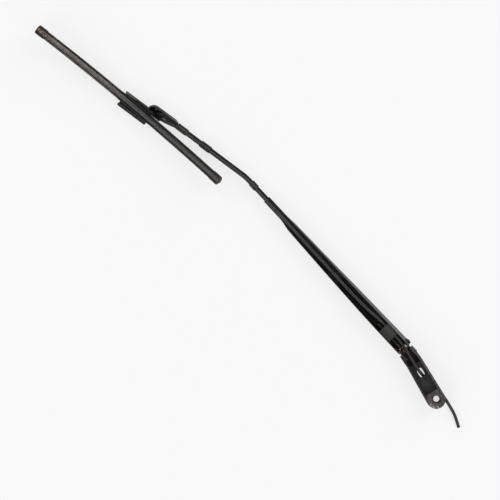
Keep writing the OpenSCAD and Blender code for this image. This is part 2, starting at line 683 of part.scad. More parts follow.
// One clip, drawn across the bar: it grips the bar and holds the hose
module clip_profile() {
    half = bar_w / 2 + clip_wall + 0.05;
    difference() {
        union() {
            translate([-half, bar_z - clip_wall - 0.05])
                square([2 * half, bar_t + clip_wall + 1.6]);
            translate([hose_side, hose_z]) circle(hose_r + clip_wall);
            translate([hose_side, bar_top]) square([half - hose_side, hose_r]);
        }
        translate([-bar_w / 2 - 0.05, bar_z - 0.05]) square([bar_w + 0.1, bar_t + 0.1]);
        translate([hose_side, hose_z]) circle(hose_r + 0.05);
        translate([hose_side - 1.2, bar_top]) square([2.4, 10]);
    }
}

module clip_along(length) {
    rotate([90, 0, 90]) translate([0, 0, -length / 2]) linear_extrude(length) clip_profile();
}

module hose_clip_1() {
    color(moulding) at_tip(clip_far) clip_along(clip_len);
}

module hose_clip_2() {
    color(moulding) at_tip(clip_mid) clip_along(clip_len);
}

module hose_clip_3() {
    color(moulding) translate([clip_bend, bar_y, 0]) clip_along(clip_len - 6);
}

// Plan of the housing's neck and of its round end, each drawn in by a wall
module neck_plan(inset, lean, reach = 0) {
    polygon([[neck_u - reach, -bar_w / 2 - 1.4 + inset + lean / 2], [neck_u + 6, -6.8 + inset + lean],
        [bulb_u, -6.6 + inset + lean], [bulb_u, 3.4 + inset], [bulb_u - 12, 4.2 - inset],
        [neck_u + 8, 4.2 - inset], [neck_u - reach, bar_w / 2 + 1 - inset]]);
}

module bulb_plan(inset, lean) {
    intersection() {
        translate([bulb_u, bulb_v + lean / 2]) circle(bulb_r - inset - lean / 2, $fn = 36);
        translate([bulb_u - 40, bulb_side - inset - 30]) square([80, 30]);
        translate([bulb_u - 11 + inset, -30]) square([60, 60]);
    }
}

module shell_between(z0, z1, lean) {
    hull() {
        translate([0, 0, z0]) linear_extrude(0.01) children(0);
        translate([0, 0, z1 - 0.01]) linear_extrude(0.01) children(1);
    }
}

// Moulded shell over the set end of the bar, open to the glass side
module nozzle_housing() {
    hollow = shell_low + shell_t;
    color(moulding) at_tip() difference() {
        union() {
            difference() {
                union() {
                    shell_between(shell_low, shell_high) { neck_plan(0, 0); neck_plan(0, shell_lean); }
                    shell_between(shell_low, shell_high) { bulb_plan(0, 0); bulb_plan(0, shell_lean); }
                }
                shell_between(hollow, shell_high + over) {
                    neck_plan(shell_t, 0.4, 2); neck_plan(shell_t, shell_lean, 2);
                }
                shell_between(hollow, shell_high + over) {
                    bulb_plan(shell_t, 0.4); bulb_plan(shell_t, shell_lean);
                }
            }
            for (u = [neck_u + 9, neck_u + 22]) translate([u, -4.6, hollow - 0.2])
                cube([1.6, 7.4, bar_z - hollow + 0.2]);
        }
        translate([neck_u + 14, 2.6, bar_z - 0.3]) cube([16, 4, 20]);
        translate([neck_u + 17, 2.4, shell_low - over]) cube([10, 3, 30]);
        translate([neck_u - 3, -0.3, bar_top - 0.1]) cube([33.5, 9, 20]);
        translate([bulb_u - 12, tongue_v - 0.3, hollow]) cube([30, 20, 20]);
        translate([bulb_u - 2.5, tongue_v - 0.3, shell_low - over]) cube([24, 20, 20]);
        for (u = jet_us) translate([u, -bulb_r, jet_z]) rotate([-90, 0, 0]) cylinder(h = 12, r = jet_r);
    }
}

// Small manifold behind the jets, with a spigot for the hose
module jet_manifold() {
    low = shell_low + shell_t;
    color(moulding) at_tip() difference() {
        union() {
            translate([bulb_u - 7.4, 0, 0]) rotate([90, 0, 90]) linear_extrude(9.2) polygon([
                [jet_v, low], [jet_v, jet_z + 1.5], [-2, shell_high], [-2, hose_z + 2.4],
                [-1.2, hose_z + 2.4], [-1.2, low]]);
            translate([spigot[0], -1.4, spigot[2]]) rotate([-90, 0, 0])
                cylinder(h = spigot[1] + 1.4, r = 1.5);
        }
        for (u = jet_us) translate([u, -20, jet_z]) rotate([-90, 0, 0]) cylinder(h = 18, r = 0.6);
    }
}

module washer_jets() {
    color(steel) at_tip() for (u = jet_us) translate([u, jet_v, jet_z]) rotate([90, 0, 0])
        difference() {
            cylinder(h = 2.8, r = jet_r);
            translate([0, 0, -over]) cylinder(h = 2.8 + 2 * over, r = 0.6);
        }
}

// Cover of the blade holder: a crest, two side walls with ledges, and low end walls
cover_u = pivot_u;
cover_low = pivot_v - cover_w / 2;
module tip_cover() {
    top = rail_z + 1.5;
    z0 = base_z;
    v0 = cover_low;
    v1 = cover_low + cover_w;
    w = cover_wall;
    color(moulding) difference() {
        at_tip(cover_u - cover_len / 2) rotate([90, 0, 90]) linear_extrude(cover_len) difference() {
            polygon([[v0, top], [v0, z0 + 3.2], [v0 + 0.9, z0 + 0.9], [v0 + 3, z0], [v1 - 3, z0],
                [v1 - 0.9, z0 + 0.9], [v1, z0 + 3.2], [v1, top]]);
            polygon([[v0 + w, top - 1.6], [v0 + w, z0 + 3.6], [v0 + w + 0.5, z0 + 2],
                [v0 + w + 1.8, z0 + crest_t], [v1 - w - 1.8, z0 + crest_t], [v1 - w - 0.5, z0 + 2],
                [v1 - w, z0 + 3.6], [v1 - w, top - 1.6]]);
            translate([v0 + w + 1.9, top - 2]) square([cover_w - 2 * w - 4, 4]);
        }
        at_tip(0, 0, -30) linear_extrude(60) {
            translate([cover_u - cover_len / 2 - over, v0 - over]) square([over + 11.5, 7.2]);
            difference() {
                translate([cover_u - cover_len / 2 - 2, v1 - 2]) square(4.1);
                translate([cover_u - cover_len / 2 + 2, v1 - 2]) circle(2);
            }
            difference() {
                translate([cover_u + cover_len / 2 - 2, v1 - 2]) square(4.1);
                translate([cover_u + cover_len / 2 - 2, v1 - 2]) circle(2);
            }
        }
        at_tip(cover_u - cover_len / 2 - over, tongue_v - 0.35, base_z + 1.9)
            cube([cover_len / 2 + 6, tongue_t + 0.7, 30]);
    }
}

// Inner block of the holder: two cheeks for the pin and two bridges
module adapter() {
    low = base_z + crest_t;
    span = 7.3;
    color(moulding) difference() {
        at_tip(pivot_u, pivot_v) union() {
            for (s = [-1, 1]) translate([0, s > 0 ? span : 2.2 - span, 0]) rotate([90, 0, 0])
                linear_extrude(2.2) {
                    translate([0, pivot_z]) circle(3.6);
                    translate([-3.6, low]) square([7.2, pivot_z - low]);
                    translate([-14, low]) square([28, 2.2]);
                }
            for (s = [-1, 1]) translate([s * 13 - 1, -span, low]) cube([2, 2 * span, 2.2]);
        }
        at_tip(pivot_u, pivot_v + 20, pivot_z) rotate([90, 0, 0]) cylinder(h = 40, r = pivot_r);
    }
}

module pivot_pin() {
    color(steel) at_tip(pivot_u, pivot_v + 8, pivot_z) rotate([90, 0, 0])
        cylinder(h = pivot_v + 8 - tongue_v, r = pivot_r);
}

// Frame of the blade: along it, across it and up from the rails
module at_blade() {
    translate(tip(pivot_u, pivot_v, 0)) rotate([0, 0, bar_turn - blade_skew]) children();
}

// Sweeps a section along the blade's arch, from x0 to x1
module arched(x0, x1) {
    a0 = -asin((x1 - blade_shift) / blade_r);
    a1 = -asin((x0 - blade_shift) / blade_r);
    at_blade() translate([blade_shift, blade_r * sin(blade_lean), rail_z + blade_r * cos(blade_lean)])
        rotate([-blade_lean, 0, 0]) rotate([0, 90, 90]) rotate([0, 0, a0])
            rotate_extrude(angle = a1 - a0, $fn = 360) translate([blade_r, 0])
                rotate(90 + blade_lean) children();
}

blade_low = blade_shift - rubber_half;
blade_high = blade_shift + rubber_half;
half_w = blade_w / 2;
rail_in = 2.05;
rail_out = half_w - 0.6;
slot_half = rail_t / 2 + 0.05;

function mirrored(points) = concat(points, [for (i = [len(points) - 1 : -1 : 0])
    [-points[i][0], points[i][1]]]);

// Room for the rails and the head of the rubber inside a clamp
module clamp_room() {
    polygon(mirrored([[rail_out + 0.05, slot_half], [rail_out + 0.05, -slot_half],
        [3.45, -slot_half], [3.45, -claw_in]]));
    translate([-4.3, 0]) square([8.6, 5]);
}

module wiping_rubber() {
    color(rubber) arched(blade_low, blade_high) polygon(mirrored([
        [3.4, -claw_in + 0.05], [3.4, -slot_half], [2, -slot_half], [2, slot_half],
        [3.2, slot_half], [3.2, 1.9], [0.9, 2.5], [0.9, 3.4], [2.9, 4.3], [2.9, 5.2],
        [1.3, 6.6], [0.75, 7.2], [0.35, lip_h]]));
}

module rail(side) {
    color(steel) arched(blade_low, blade_high) scale([side, 1]) translate([rail_in, -rail_t / 2])
        square([rail_out - rail_in, rail_t]);
}

module rail_front() {
    rail(-1);
}

module rail_back() {
    rail(1);
}

// Section of the spoiler, with one hollow flank and one full one
module spoiler_outline(room = 0) {
    w = half_w + room;
    polygon([[w, slot_half + 0.65 + room], [w, -1.6], [4.4 + room, -3.1], [2.2 + room, -5.6],
        [1.1 + room, -8.6], [0.7 + room, -spoiler_h - room], [-0.7 - room, -spoiler_h - room],
        [-1.9 - room, -8.6], [-3.9 - room, -5.2], [-w, -1.8], [-w, slot_half + 0.65 + room]]);
}

module spoiler(x0, x1) {
    color(moulding) arched(x0, x1) difference() {
        spoiler_outline();
        clamp_room();
        polygon([[2.6, -2.6], [1.2, -4.6], [0.3, -7.4], [-0.9, -7.4], [-2.6, -4.6], [-3.8, -2.6]]);
    }
}

module spoiler_outer() {
    spoiler(connector_half + 0.3, blade_high);
}

module spoiler_inner() {
    spoiler(blade_low, -connector_half - 0.3);
}

module cap_outline() {
    polygon([[half_w + 0.7, 2], [half_w + 0.7, -1.9], [5, -3.9], [2.9, -6], [1.8, -8.9],
        [1.3, -spoiler_h - 0.6], [-1.3, -spoiler_h - 0.6], [-2.6, -8.9], [-4.5, -5.9],
        [-half_w - 0.7, -2.3], [-half_w - 0.7, 2]]);
}

// Cap over a blade end: solid from x0 to x1 with the hollow from h0 to h1
module end_cap(x0, x1, h0, h1) {
    color(moulding) difference() {
        arched(x0, x1) cap_outline();
        arched(h0, h1) union() {
            spoiler_outline(0.05);
            translate([-4.3, 0]) square([8.6, 5]);
        }
    }
}

module end_cap_outer() {
    start = blade_high + cap_plate - cap_len;
    end_cap(start, blade_high + cap_plate, start - over, blade_high);
}

module end_cap_inner() {
    end = blade_low - cap_plate + cap_len;
    end_cap(blade_low - cap_plate, end, blade_low, end + over);
}

// Carrier in the middle of the blade: claws round the rails and an eye for the pin
module blade_connector() {
    color(moulding) difference() {
        union() {
            arched(-connector_half, connector_half) difference() {
                translate([-half_w - 0.2, -claw_out]) square([blade_w + 0.4, claw_out + slot_half + 0.75]);
                clamp_room();
            }
            at_blade() translate([0, 4, rail_z]) rotate([90, 0, 0]) linear_extrude(8) {
                translate([0, -pivot_h]) circle(3.2);
                polygon([[-10, -claw_out + 0.3], [-10, -claw_out - 0.8], [-3.2, -pivot_h],
                    [3.2, -pivot_h], [10, -claw_out - 0.8], [10, -claw_out + 0.3]]);
            }
        }
        at_tip(pivot_u, pivot_v + 20, pivot_z) rotate([90, 0, 0])
            cylinder(h = 40, r = pivot_r + run_gap);
    }
}

mounting_head();
spring_stud();
hose_head();
hose_tail();
hinge_rivet_right();
hinge_rivet_left();
arm_channel();
hose_guide();
spring_link();
tension_spring();
hose_hinge();
hose_arm();
arm_bar();
bar_rivets();
hose_clip_1();
hose_clip_2();
hose_clip_3();
nozzle_housing();
jet_manifold();
washer_jets();
tip_cover();
adapter();
pivot_pin();
blade_connector();
rail_front();
rail_back();
wiping_rubber();
spoiler_outer();
spoiler_inner();
end_cap_outer();
end_cap_inner();
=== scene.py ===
# %% [markdown]
# # Windscreen wiper arm
# This lesson dresses a used wiper arm that lies on its outer side, with its glass side up.
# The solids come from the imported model, which is the fixed frame: nothing here moves them.
# On top of them come smooth rubber hose, a wound spring, small pressed and moulded details,
# and materials with the dust, rust and scuffs of years on a car.

import json
import math

import bmesh
import bpy
from mathutils import Matrix, Vector

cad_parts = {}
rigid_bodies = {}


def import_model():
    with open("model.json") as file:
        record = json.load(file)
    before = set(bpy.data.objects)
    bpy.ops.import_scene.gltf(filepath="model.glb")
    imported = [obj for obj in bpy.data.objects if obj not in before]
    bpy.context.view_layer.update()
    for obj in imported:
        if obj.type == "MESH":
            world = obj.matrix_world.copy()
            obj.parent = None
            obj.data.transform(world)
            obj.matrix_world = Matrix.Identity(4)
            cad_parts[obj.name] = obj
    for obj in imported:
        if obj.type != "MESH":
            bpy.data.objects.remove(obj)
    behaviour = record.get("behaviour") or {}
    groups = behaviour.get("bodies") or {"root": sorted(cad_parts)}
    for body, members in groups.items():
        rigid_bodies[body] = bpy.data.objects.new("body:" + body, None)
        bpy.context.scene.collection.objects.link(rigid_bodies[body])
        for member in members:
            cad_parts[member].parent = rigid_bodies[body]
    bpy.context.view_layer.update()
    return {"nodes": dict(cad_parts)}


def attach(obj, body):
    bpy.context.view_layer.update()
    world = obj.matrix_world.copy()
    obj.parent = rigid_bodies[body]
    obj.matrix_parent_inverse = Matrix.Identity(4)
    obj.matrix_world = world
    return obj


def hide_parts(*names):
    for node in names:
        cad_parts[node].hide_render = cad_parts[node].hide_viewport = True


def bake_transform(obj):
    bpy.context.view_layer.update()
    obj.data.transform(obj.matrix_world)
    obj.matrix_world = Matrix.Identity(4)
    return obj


for leftover in list(bpy.data.objects):
    bpy.data.objects.remove(leftover)
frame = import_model()

NODES = frame["nodes"]
MM = 0.001

# %% [markdown]
# ## The camera
# The photograph looks straight down on the arm from a few metres away.
# The picture's right and up directions are turned against the arm's own axes,
# so the camera is turned about the vertical by the same angle.
# A long lens far away keeps the raised ends of the blade where the photograph has them.

# %% Camera
VIEW_TURN = math.radians(-133.0)
VIEW_MIDDLE = Vector((353.4, 52.2, 0)) * MM
VIEW_WIDTH = 750 * MM
VIEW_HEIGHT = 3.5

lens = bpy.data.cameras.new("camera")
lens.sensor_width = 36
lens.lens = lens.sensor_width * VIEW_HEIGHT / VIEW_WIDTH
lens.clip_end = 50
camera = bpy.data.objects.new("camera", lens)
camera.location = VIEW_MIDDLE + Vector((0, 0, VIEW_HEIGHT))
camera.rotation_euler = (0, 0, VIEW_TURN)
bpy.context.scene.collection.objects.link(camera)
bpy.context.scene.camera = camera
print("camera: lens", round(lens.lens), "mm at", VIEW_HEIGHT, "m")

# %% [markdown]
# ## Places that the hose follows
# The bar bends once, and everything beyond the bend stands in the bar's second stretch.
# A small function turns a place along and across that stretch into the frame's own axes,
# with the same sizes as the part's source.

# %% Frame of the bar's second stretch
BEND = Vector((437, -17.9, 0))
BAR_TURN = math.radians(10.2)
ALONG = Vector((math.cos(BAR_TURN), math.sin(BAR_TURN), 0))
ACROSS = Vector((-math.sin(BAR_TURN), math.cos(BAR_TURN), 0))


def tip(u, v, z):
    """A place in millimetres, u along the second stretch of the bar and v across it."""
    return BEND + ALONG * u + ACROSS * v + Vector((0, 0, z))


HOSE_D = 4.8
HOSE_R = HOSE_D / 2
FLOOR_Z = -12.0
BAR_TOP = 0.3
BAR_HOSE_Z = BAR_TOP + HOSE_R + 0.1
CRIMP_HOSE_Z = 1.6 + HOSE_R + 0.1
HOSE_SIDE = 1.7
BAR_HOSE_Y = BEND.y + HOSE_SIDE
NECK_U = 131.0
BULB_U = 169.8
CLIP_UV = [120.0, 76.0]
CLIP_LEN = 18.0
GUIDE_HOSE_Z = 3.99
print("bar: second stretch from", tuple(round(c) for c in BEND), "turned",
      round(math.degrees(BAR_TURN), 1), "degrees")

# %% [markdown]
# ## A ring that grows along a path
# Hose and wire are round all the way, so both can be made the same way: a small circle of
# vertices is extruded from point to point, and turned at each one to face the new direction.
# A curve with a bevel would do the same. The ring was chosen because its open end can be
# worked on afterwards, for the wall of a cut hose or the hook of a spring.

# %% Sweep a ring
def smooth_route(points, step):
    """Points about one step apart on a smooth line through the given points."""
    ends = [points[0] * 2 - points[1]] + points + [points[-1] * 2 - points[-2]]
    route = [points[0]]
    for a, b, c, d in zip(ends, ends[1:], ends[2:], ends[3:]):
        count = max(1, round((c - b).length / step))
        for k in range(1, count + 1):
            t = k / count
            route.append(b + (c - a) * t / 2 + (a * 2 - b * 5 + c * 4 - d) * t ** 2 / 2
                         + (b * 3 - a - c * 3 + d) * t ** 3 / 2)
    return route


def start_ring(bm, centre, direction, radius, sides):
    """A circle of edges that faces along the direction."""
    turn = direction.normalized().to_track_quat("Z", "Y").to_matrix().to_4x4()
    made = bmesh.ops.create_circle(bm, cap_ends=False, radius=radius, segments=sides,
                                   matrix=Matrix.Translation(centre) @ turn)
    return list({e for v in made["verts"] for e in v.link_edges})


def sweep(bm, ring, route):
    """Extrudes the ring of edges along the route and returns its last ring."""
    ways = [(route[min(i + 1, len(route) - 1)] - route[max(i - 1, 0)]).normalized()
            for i in range(len(route))]
    for i in range(1, len(route)):
        made = bmesh.ops.extrude_edge_only(bm, edges=ring)["geom"]
        verts = [g for g in made if isinstance(g, bmesh.types.BMVert)]
        ring = [g for g in made if isinstance(g, bmesh.types.BMEdge)
                and g.verts[0] in verts and g.verts[1] in verts]
        bmesh.ops.translate(bm, verts=verts, vec=route[i] - route[i - 1])
        turn = ways[i - 1].rotation_difference(ways[i]).to_matrix()
        bmesh.ops.rotate(bm, verts=verts, cent=route[i], matrix=turn)
    return ring


def ring_verts(ring):
    """The vertices of a ring of edges, each once."""
    return list({v for e in ring for v in e.verts})


def new_piece(name, bm, smooth=True):
    """Makes the bmesh an object with outward normals and links it to the scene."""
    bmesh.ops.recalc_face_normals(bm, faces=bm.faces[:])
    for face in bm.faces:
        face.smooth = smooth
    mesh = bpy.data.meshes.new(name)
    bm.to_mesh(mesh)
    bm.free()
    piece = bpy.data.objects.new(name, mesh)
    bpy.context.scene.collection.objects.link(piece)
    return piece

# %% [markdown]
# ## The washer hose
# One thin rubber hose brings water from the car to the jets near the blade. It leaves the head's
# rim, climbs through the oval hole, crosses the hinge beside the link, runs over the spring and
# along the bar in three clips, and ends on a spigot in the nozzle housing.
# It is swept in one go, so that no joint shows.

# %% Hose on the arm
TAIL = [(-8, -10.2), (-13, -9.5), (-19, -8.3), (-25, -7), (-31, -5.6),
        (-36, -4.2), (-41, -2.3), (-46, -0.1), (-51, 2.2), (-56, 4.8)]
TAIL = [Vector((x, y, FLOOR_Z + HOSE_R)) for x, y in TAIL]
HOSE_IN = Vector((83.5, -16.8, GUIDE_HOSE_Z + 0.2))
HOSE_OUT = Vector((100.5, -19.2, GUIDE_HOSE_Z))
HEAD_HOSE = [(2, -10.3, -9.6), (11, -10.3, -9.6), (19, -10.3, -9.5), (25, -10.1, -9),
             (30, -9.8, -7.9), (34, -9.5, -4.3), (38, -9.3, -2.1), (42, -9.3, 0.5),
             (46, -9.5, 3.1), (50, -9.9, 5.6), (54, -10.4, 6.9), (58, -11, 7.3),
             (63, -12, 7.1), (70, -13.6, 6), (77, -15.2, 4.7)]
HINGE_HOSE = [(89.5, -17.9, 3.94), (95.5, -18.8, 3.94)]
SPRING_HOSE = [(111, -19.4, 3.99), (132, -19.4, 3.99), (137, -19, 4.7), (142, -18.6, 6.8),
               (148, -18.1, 8.5), (154, -17.5, 9), (165, -16.4, 9.2), (190, -15.3, 8.9),
               (220, -15.1, 8.1), (240, -15.4, 7.2), (262, -15.6, 5.7), (285, -15.6, 5.1),
               (310, -15.8, 4.7), (338, BAR_HOSE_Y, CRIMP_HOSE_Z + 0.3),
               (363, BAR_HOSE_Y, CRIMP_HOSE_Z), (384, BAR_HOSE_Y, CRIMP_HOSE_Z),
               (396, BAR_HOSE_Y, BAR_HOSE_Z + 0.4), (411, BAR_HOSE_Y, BAR_HOSE_Z),
               (431, BAR_HOSE_Y - 0.1, BAR_HOSE_Z)]
TIP_HOSE = [(5, 1.5), (14, 1.7), (30, 1.7), (48, 1.7), (67, 1.7), (85, 1.7), (98, 1.7),
            (111, 1.7), (127, 1.7), (131, 2.6), (139, 4.4), (147, 6.0), (154, 6.8)]
TIP_HOSE = [tip(u, v, BAR_HOSE_Z + (0.2 if u > 150 else 0)) for u, v in TIP_HOSE]
SPIGOT_HOSE = [tip(BULB_U - 8, 6.3, 3.2), tip(BULB_U - 2.6, 4.8, 3.3),
               tip(BULB_U - 0.8, 2.6, 3.2), tip(BULB_U - 0.8, 0.9, 3.2)]
hose_points = ([TAIL[0]] + [Vector(p) for p in HEAD_HOSE] + [HOSE_IN]
               + [Vector(p) for p in HINGE_HOSE] + [HOSE_OUT]
               + [Vector(p) for p in SPRING_HOSE] + TIP_HOSE + SPIGOT_HOSE)
HOSE_SIDES = 20
bm = bmesh.new()
route = [p * MM for p in smooth_route(hose_points, 3.0)]
ring = start_ring(bm, route[0], route[1] - route[0], HOSE_R * MM, HOSE_SIDES)
first = list(ring)
last = sweep(bm, ring, route)
for end in (first, last):
    bmesh.ops.holes_fill(bm, edges=end, sides=0)
washer_hose = new_piece("washer_hose", bm)
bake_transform(washer_hose)
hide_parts("hose_head", "hose_hinge", "hose_arm")
print("hose on the arm:", round(sum((b - a).length for a, b in zip(route, route[1:])) / MM), "mm")

# %% [markdown]
# ## The cut end of the hose
# Behind the head the hose lies on the ground and ends in a plain cut, some 5 cm from the rim.
# That stretch is free. Its end shows the
# wall of the hose: the last ring is drawn in and pushed back into the bore.

# %% Free end
bm = bmesh.new()
tail_route = [p * MM for p in smooth_route(TAIL, 2.0)]
ring = start_ring(bm, tail_route[0], tail_route[1] - tail_route[0], HOSE_R * MM, HOSE_SIDES)
first = list(ring)
last = sweep(bm, ring, tail_route)
out = (tail_route[-1] - tail_route[-2]).normalized()
for scale, push in ((0.93, 0.12), (0.62, 0.0), (0.55, -0.3), (0.55, -6.0)):
    made = bmesh.ops.extrude_edge_only(bm, edges=last)["geom"]
    verts = [g for g in made if isinstance(g, bmesh.types.BMVert)]
    last = [g for g in made if isinstance(g, bmesh.types.BMEdge)
            and g.verts[0] in verts and g.verts[1] in verts]
    centre = sum((v.co for v in verts), Vector()) / len(verts)
    wide = (verts[0].co - centre).length
    bmesh.ops.scale(bm, verts=verts, vec=(scale * HOSE_R * MM / wide,) * 3,
                    space=Matrix.Translation(-centre))
    bmesh.ops.translate(bm, verts=verts, vec=tail_route[-1] + out * push * MM - centre)
bmesh.ops.holes_fill(bm, edges=first, sides=0)
bmesh.ops.holes_fill(bm, edges=last, sides=0)
hose_end = new_piece("hose_end", bm)
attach(hose_end, "head")
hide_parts("hose_tail")

# %% [markdown]
# ## The tension spring
# The spring that presses the blade on the glass is wound from round wire, with an eye at each end.
# A ring of wire section is spun round the coil's axis while it moves along it, which is a helix.
# From the two ends of the helix the same ring is then swept into the hooks.

# %% Spring
WIRE_R = 0.9
COIL_R = 3.6
COIL_TURNS = 26
COIL_STEPS = 24
COIL_Y = -15.25
LINE_START = Vector((87.5, 0, 3.5))
LINE_TILT = math.radians(1.78884)


def on_line(x, y, up):
    """A place beside the line that the spring pulls along."""
    return Vector((x, y, LINE_START.z - (x - LINE_START.x) * math.tan(LINE_TILT) + up)) * MM


bm = bmesh.new()
coil_from, coil_to = on_line(149, COIL_Y, 0), on_line(228, COIL_Y, 0)
axis = (coil_to - coil_from).normalized()
ring = start_ring(bm, coil_from + Vector((0, -COIL_R * MM, 0)), Vector((0.12, 0, -1)),
                  WIRE_R * MM, 10)
first = list(ring)
steps = COIL_TURNS * COIL_STEPS
spun = bmesh.ops.spin(bm, geom=ring + ring_verts(ring), cent=coil_from, axis=axis,
                      dvec=(coil_to - coil_from) / steps, angle=-math.tau * COIL_TURNS,
                      steps=steps, use_merge=False, use_duplicate=False)
last = [g for g in spun["geom_last"] if isinstance(g, bmesh.types.BMEdge)]


def middle_of(ring):
    verts = ring_verts(ring)
    return sum((v.co for v in verts), Vector()) / len(verts)


print("spring: coil ends at", [tuple(round(c / MM, 1) for c in middle_of(r)) for r in (first, last)])

# %% Hooks of the spring
EYE_X = 139.2
LINK_Y = -12.6
BAR_Y = -17.9
ANCHOR_X = 254
front_hook = [on_line(144, COIL_Y - 2.4, 0), on_line(140.8, LINK_Y - 4, 0),
              on_line(EYE_X + 0.1, LINK_Y - 2.4, 0), on_line(EYE_X, LINK_Y, 0),
              on_line(EYE_X, LINK_Y + 2.7, 0)]
back_hook = [on_line(231, COIL_Y - COIL_R * 0.4, 3), on_line(237, COIL_Y - 1.4, 3.4),
             on_line(ANCHOR_X - 8, BAR_Y, 3.6), on_line(ANCHOR_X - 2.4, BAR_Y, 3.6),
             on_line(ANCHOR_X - 0.7, BAR_Y, 3), on_line(ANCHOR_X, BAR_Y, 1.8),
             on_line(ANCHOR_X, BAR_Y, -2.3)]
for ring, hook in ((first, front_hook), (last, back_hook)):
    end = sweep(bm, ring, smooth_route([middle_of(ring)] + hook, 0.6 * MM))
    bmesh.ops.holes_fill(bm, edges=end, sides=0)
spring_wire = new_piece("spring_wire", bm)
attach(spring_wire, "spring")
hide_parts("tension_spring")
print("spring:", COIL_TURNS, "turns,", len(spring_wire.data.polygons), "faces")

# %% [markdown]
# ## The fluted cone in the head
# The spindle's end has fine splines that bite into the die-cast head. Seen from the glass side
# this is a ring of small flutes in the widening bore. A circle with every second vertex drawn
# in gives the flutes, and one extrusion down the taper gives the cone.

# %% Flutes
BORE_R = 4.65
TAPER_R = 6.4
TAPER_FOOT_Z = 4.0
BOSS_Z = 13.0
FLUTE_COUNT = 36
FLUTE_DEEP = 0.35
bm = bmesh.new()
ring = start_ring(bm, Vector((0, 0, (BOSS_Z - 0.4) * MM)), Vector((0, 0, 1)),
                  (TAPER_R - 0.05) * MM, 2 * FLUTE_COUNT)
crests = [v for v in ring_verts(ring)
          if round(math.atan2(v.co.y, v.co.x) / (math.pi / FLUTE_COUNT)) % 2]
bmesh.ops.scale(bm, verts=crests, vec=((TAPER_R - FLUTE_DEEP) / TAPER_R,) * 2 + (1,))
made = bmesh.ops.extrude_edge_only(bm, edges=ring)["geom"]
low_verts = [g for g in made if isinstance(g, bmesh.types.BMVert)]
bmesh.ops.translate(bm, verts=low_verts, vec=Vector((0, 0, TAPER_FOOT_Z + 0.4 - BOSS_Z)) * MM)
bmesh.ops.scale(bm, verts=low_verts, vec=(BORE_R / TAPER_R,) * 2 + (1,))
bmesh.ops.solidify(bm, geom=bm.faces[:], thickness=0.04 * MM)
bore_flutes = new_piece("bore_flutes", bm, smooth=False)
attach(bore_flutes, "head")
print("flutes:", FLUTE_COUNT, "round the taper")

# %% [markdown]
# ## The collar of the oval hole
# The hole in the casting isn't a sharp cut: the die leaves a low rounded collar round it, which
# keeps the hose off the edge. A flat ring is cut out of a circle that is stretched into an oval
# of two half circles, then it is extruded and its edges are rounded.

# %% Collar round the hose's hole
HOLE_X = 44.5
HEAD_TURN = math.radians(-12.5)
COLLAR_OUT = (4.95, 7.4)
COLLAR_IN = (4.25, 6.2)
COLLAR_LOW = 1.0
COLLAR_TALL = 3.3


def oval_ring(bm, radius, straight, z, sides=34):
    """A ring of edges: two half circles, drawn apart by the straight between them."""
    made = bmesh.ops.create_circle(bm, cap_ends=False, radius=radius * MM, segments=sides)
    for side in (-1, 1):
        half = [v for v in made["verts"] if v.co.x * side > 0]
        bmesh.ops.translate(bm, verts=half, vec=(side * straight / 2 * MM, 0, z * MM))
    return list({e for v in made["verts"] for e in v.link_edges})


bm = bmesh.new()
rings = oval_ring(bm, *COLLAR_OUT, COLLAR_LOW) + oval_ring(bm, *COLLAR_IN, COLLAR_LOW)
collar_faces = bmesh.ops.bridge_loops(bm, edges=rings)["faces"]
made = bmesh.ops.extrude_face_region(bm, geom=collar_faces)["geom"]
top_verts = [g for g in made if isinstance(g, bmesh.types.BMVert)]
bmesh.ops.translate(bm, verts=top_verts, vec=(0, 0, COLLAR_TALL * MM))
bmesh.ops.recalc_face_normals(bm, faces=bm.faces[:])
top_edges = {e for v in top_verts for e in v.link_edges
             if e.other_vert(v) in top_verts and e.calc_face_angle(0) > 1}
bmesh.ops.bevel(bm, geom=list(top_edges), offset=0.35 * MM, offset_type="OFFSET", segments=3,
                profile=0.5, affect="EDGES", material=-1)
bmesh.ops.transform(bm, verts=bm.verts[:],
                    matrix=Matrix.Rotation(HEAD_TURN, 4, "Z")
                    @ Matrix.Translation((HOLE_X / math.cos(HEAD_TURN) * MM, 0, 0)))
hole_collar = new_piece("hole_collar", bm)
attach(hole_collar, "head")
print("collar: opening", 2 * COLLAR_IN[0], "by", 2 * COLLAR_IN[0] + COLLAR_IN[1], "mm")

# %% [markdown]
# ## The lip of the nozzle housing
# Between the bulb and the blade the housing has a thin flat lip, which closes the gap to the cover.
# It is one face with a slanted front, extruded to the moulding's wall and rounded at its edges.
# A second strip narrows the slit beside the bar, through which only a hair of light falls.

# %% Lip of the housing
LIP_OUTLINE = [(151.5, 6.4), (156, 11.4), (161, 11.1), (169, 10.6), (173, 10), (181, 9.6),
               (181, 4.9), (167, 4.9), (152, 5.8)]
STRIP_OUTLINE = [(147.6, 1.8), (147.6, 3.2), (158.4, 4.6), (158.4, 1.8)]
LIP_LOW = -5.7
LIP_TALL = 1.4
bm = bmesh.new()
flats = [bm.faces.new([bm.verts.new(tip(u, v, LIP_LOW) * MM) for u, v in outline])
         for outline in (LIP_OUTLINE, STRIP_OUTLINE)]
made = bmesh.ops.extrude_face_region(bm, geom=flats)["geom"]
bmesh.ops.translate(bm, verts=[g for g in made if isinstance(g, bmesh.types.BMVert)],
                    vec=(0, 0, LIP_TALL * MM))
bmesh.ops.bevel(bm, geom=bm.edges[:], offset=0.3 * MM, offset_type="OFFSET", segments=2,
                profile=0.5, affect="EDGES", material=-1)
housing_lip = new_piece("housing_lip", bm)
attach(housing_lip, "arm")
print("lip:", LIP_OUTLINE[5][0] - LIP_OUTLINE[0][0], "mm long,", len(housing_lip.data.polygons),
      "faces")

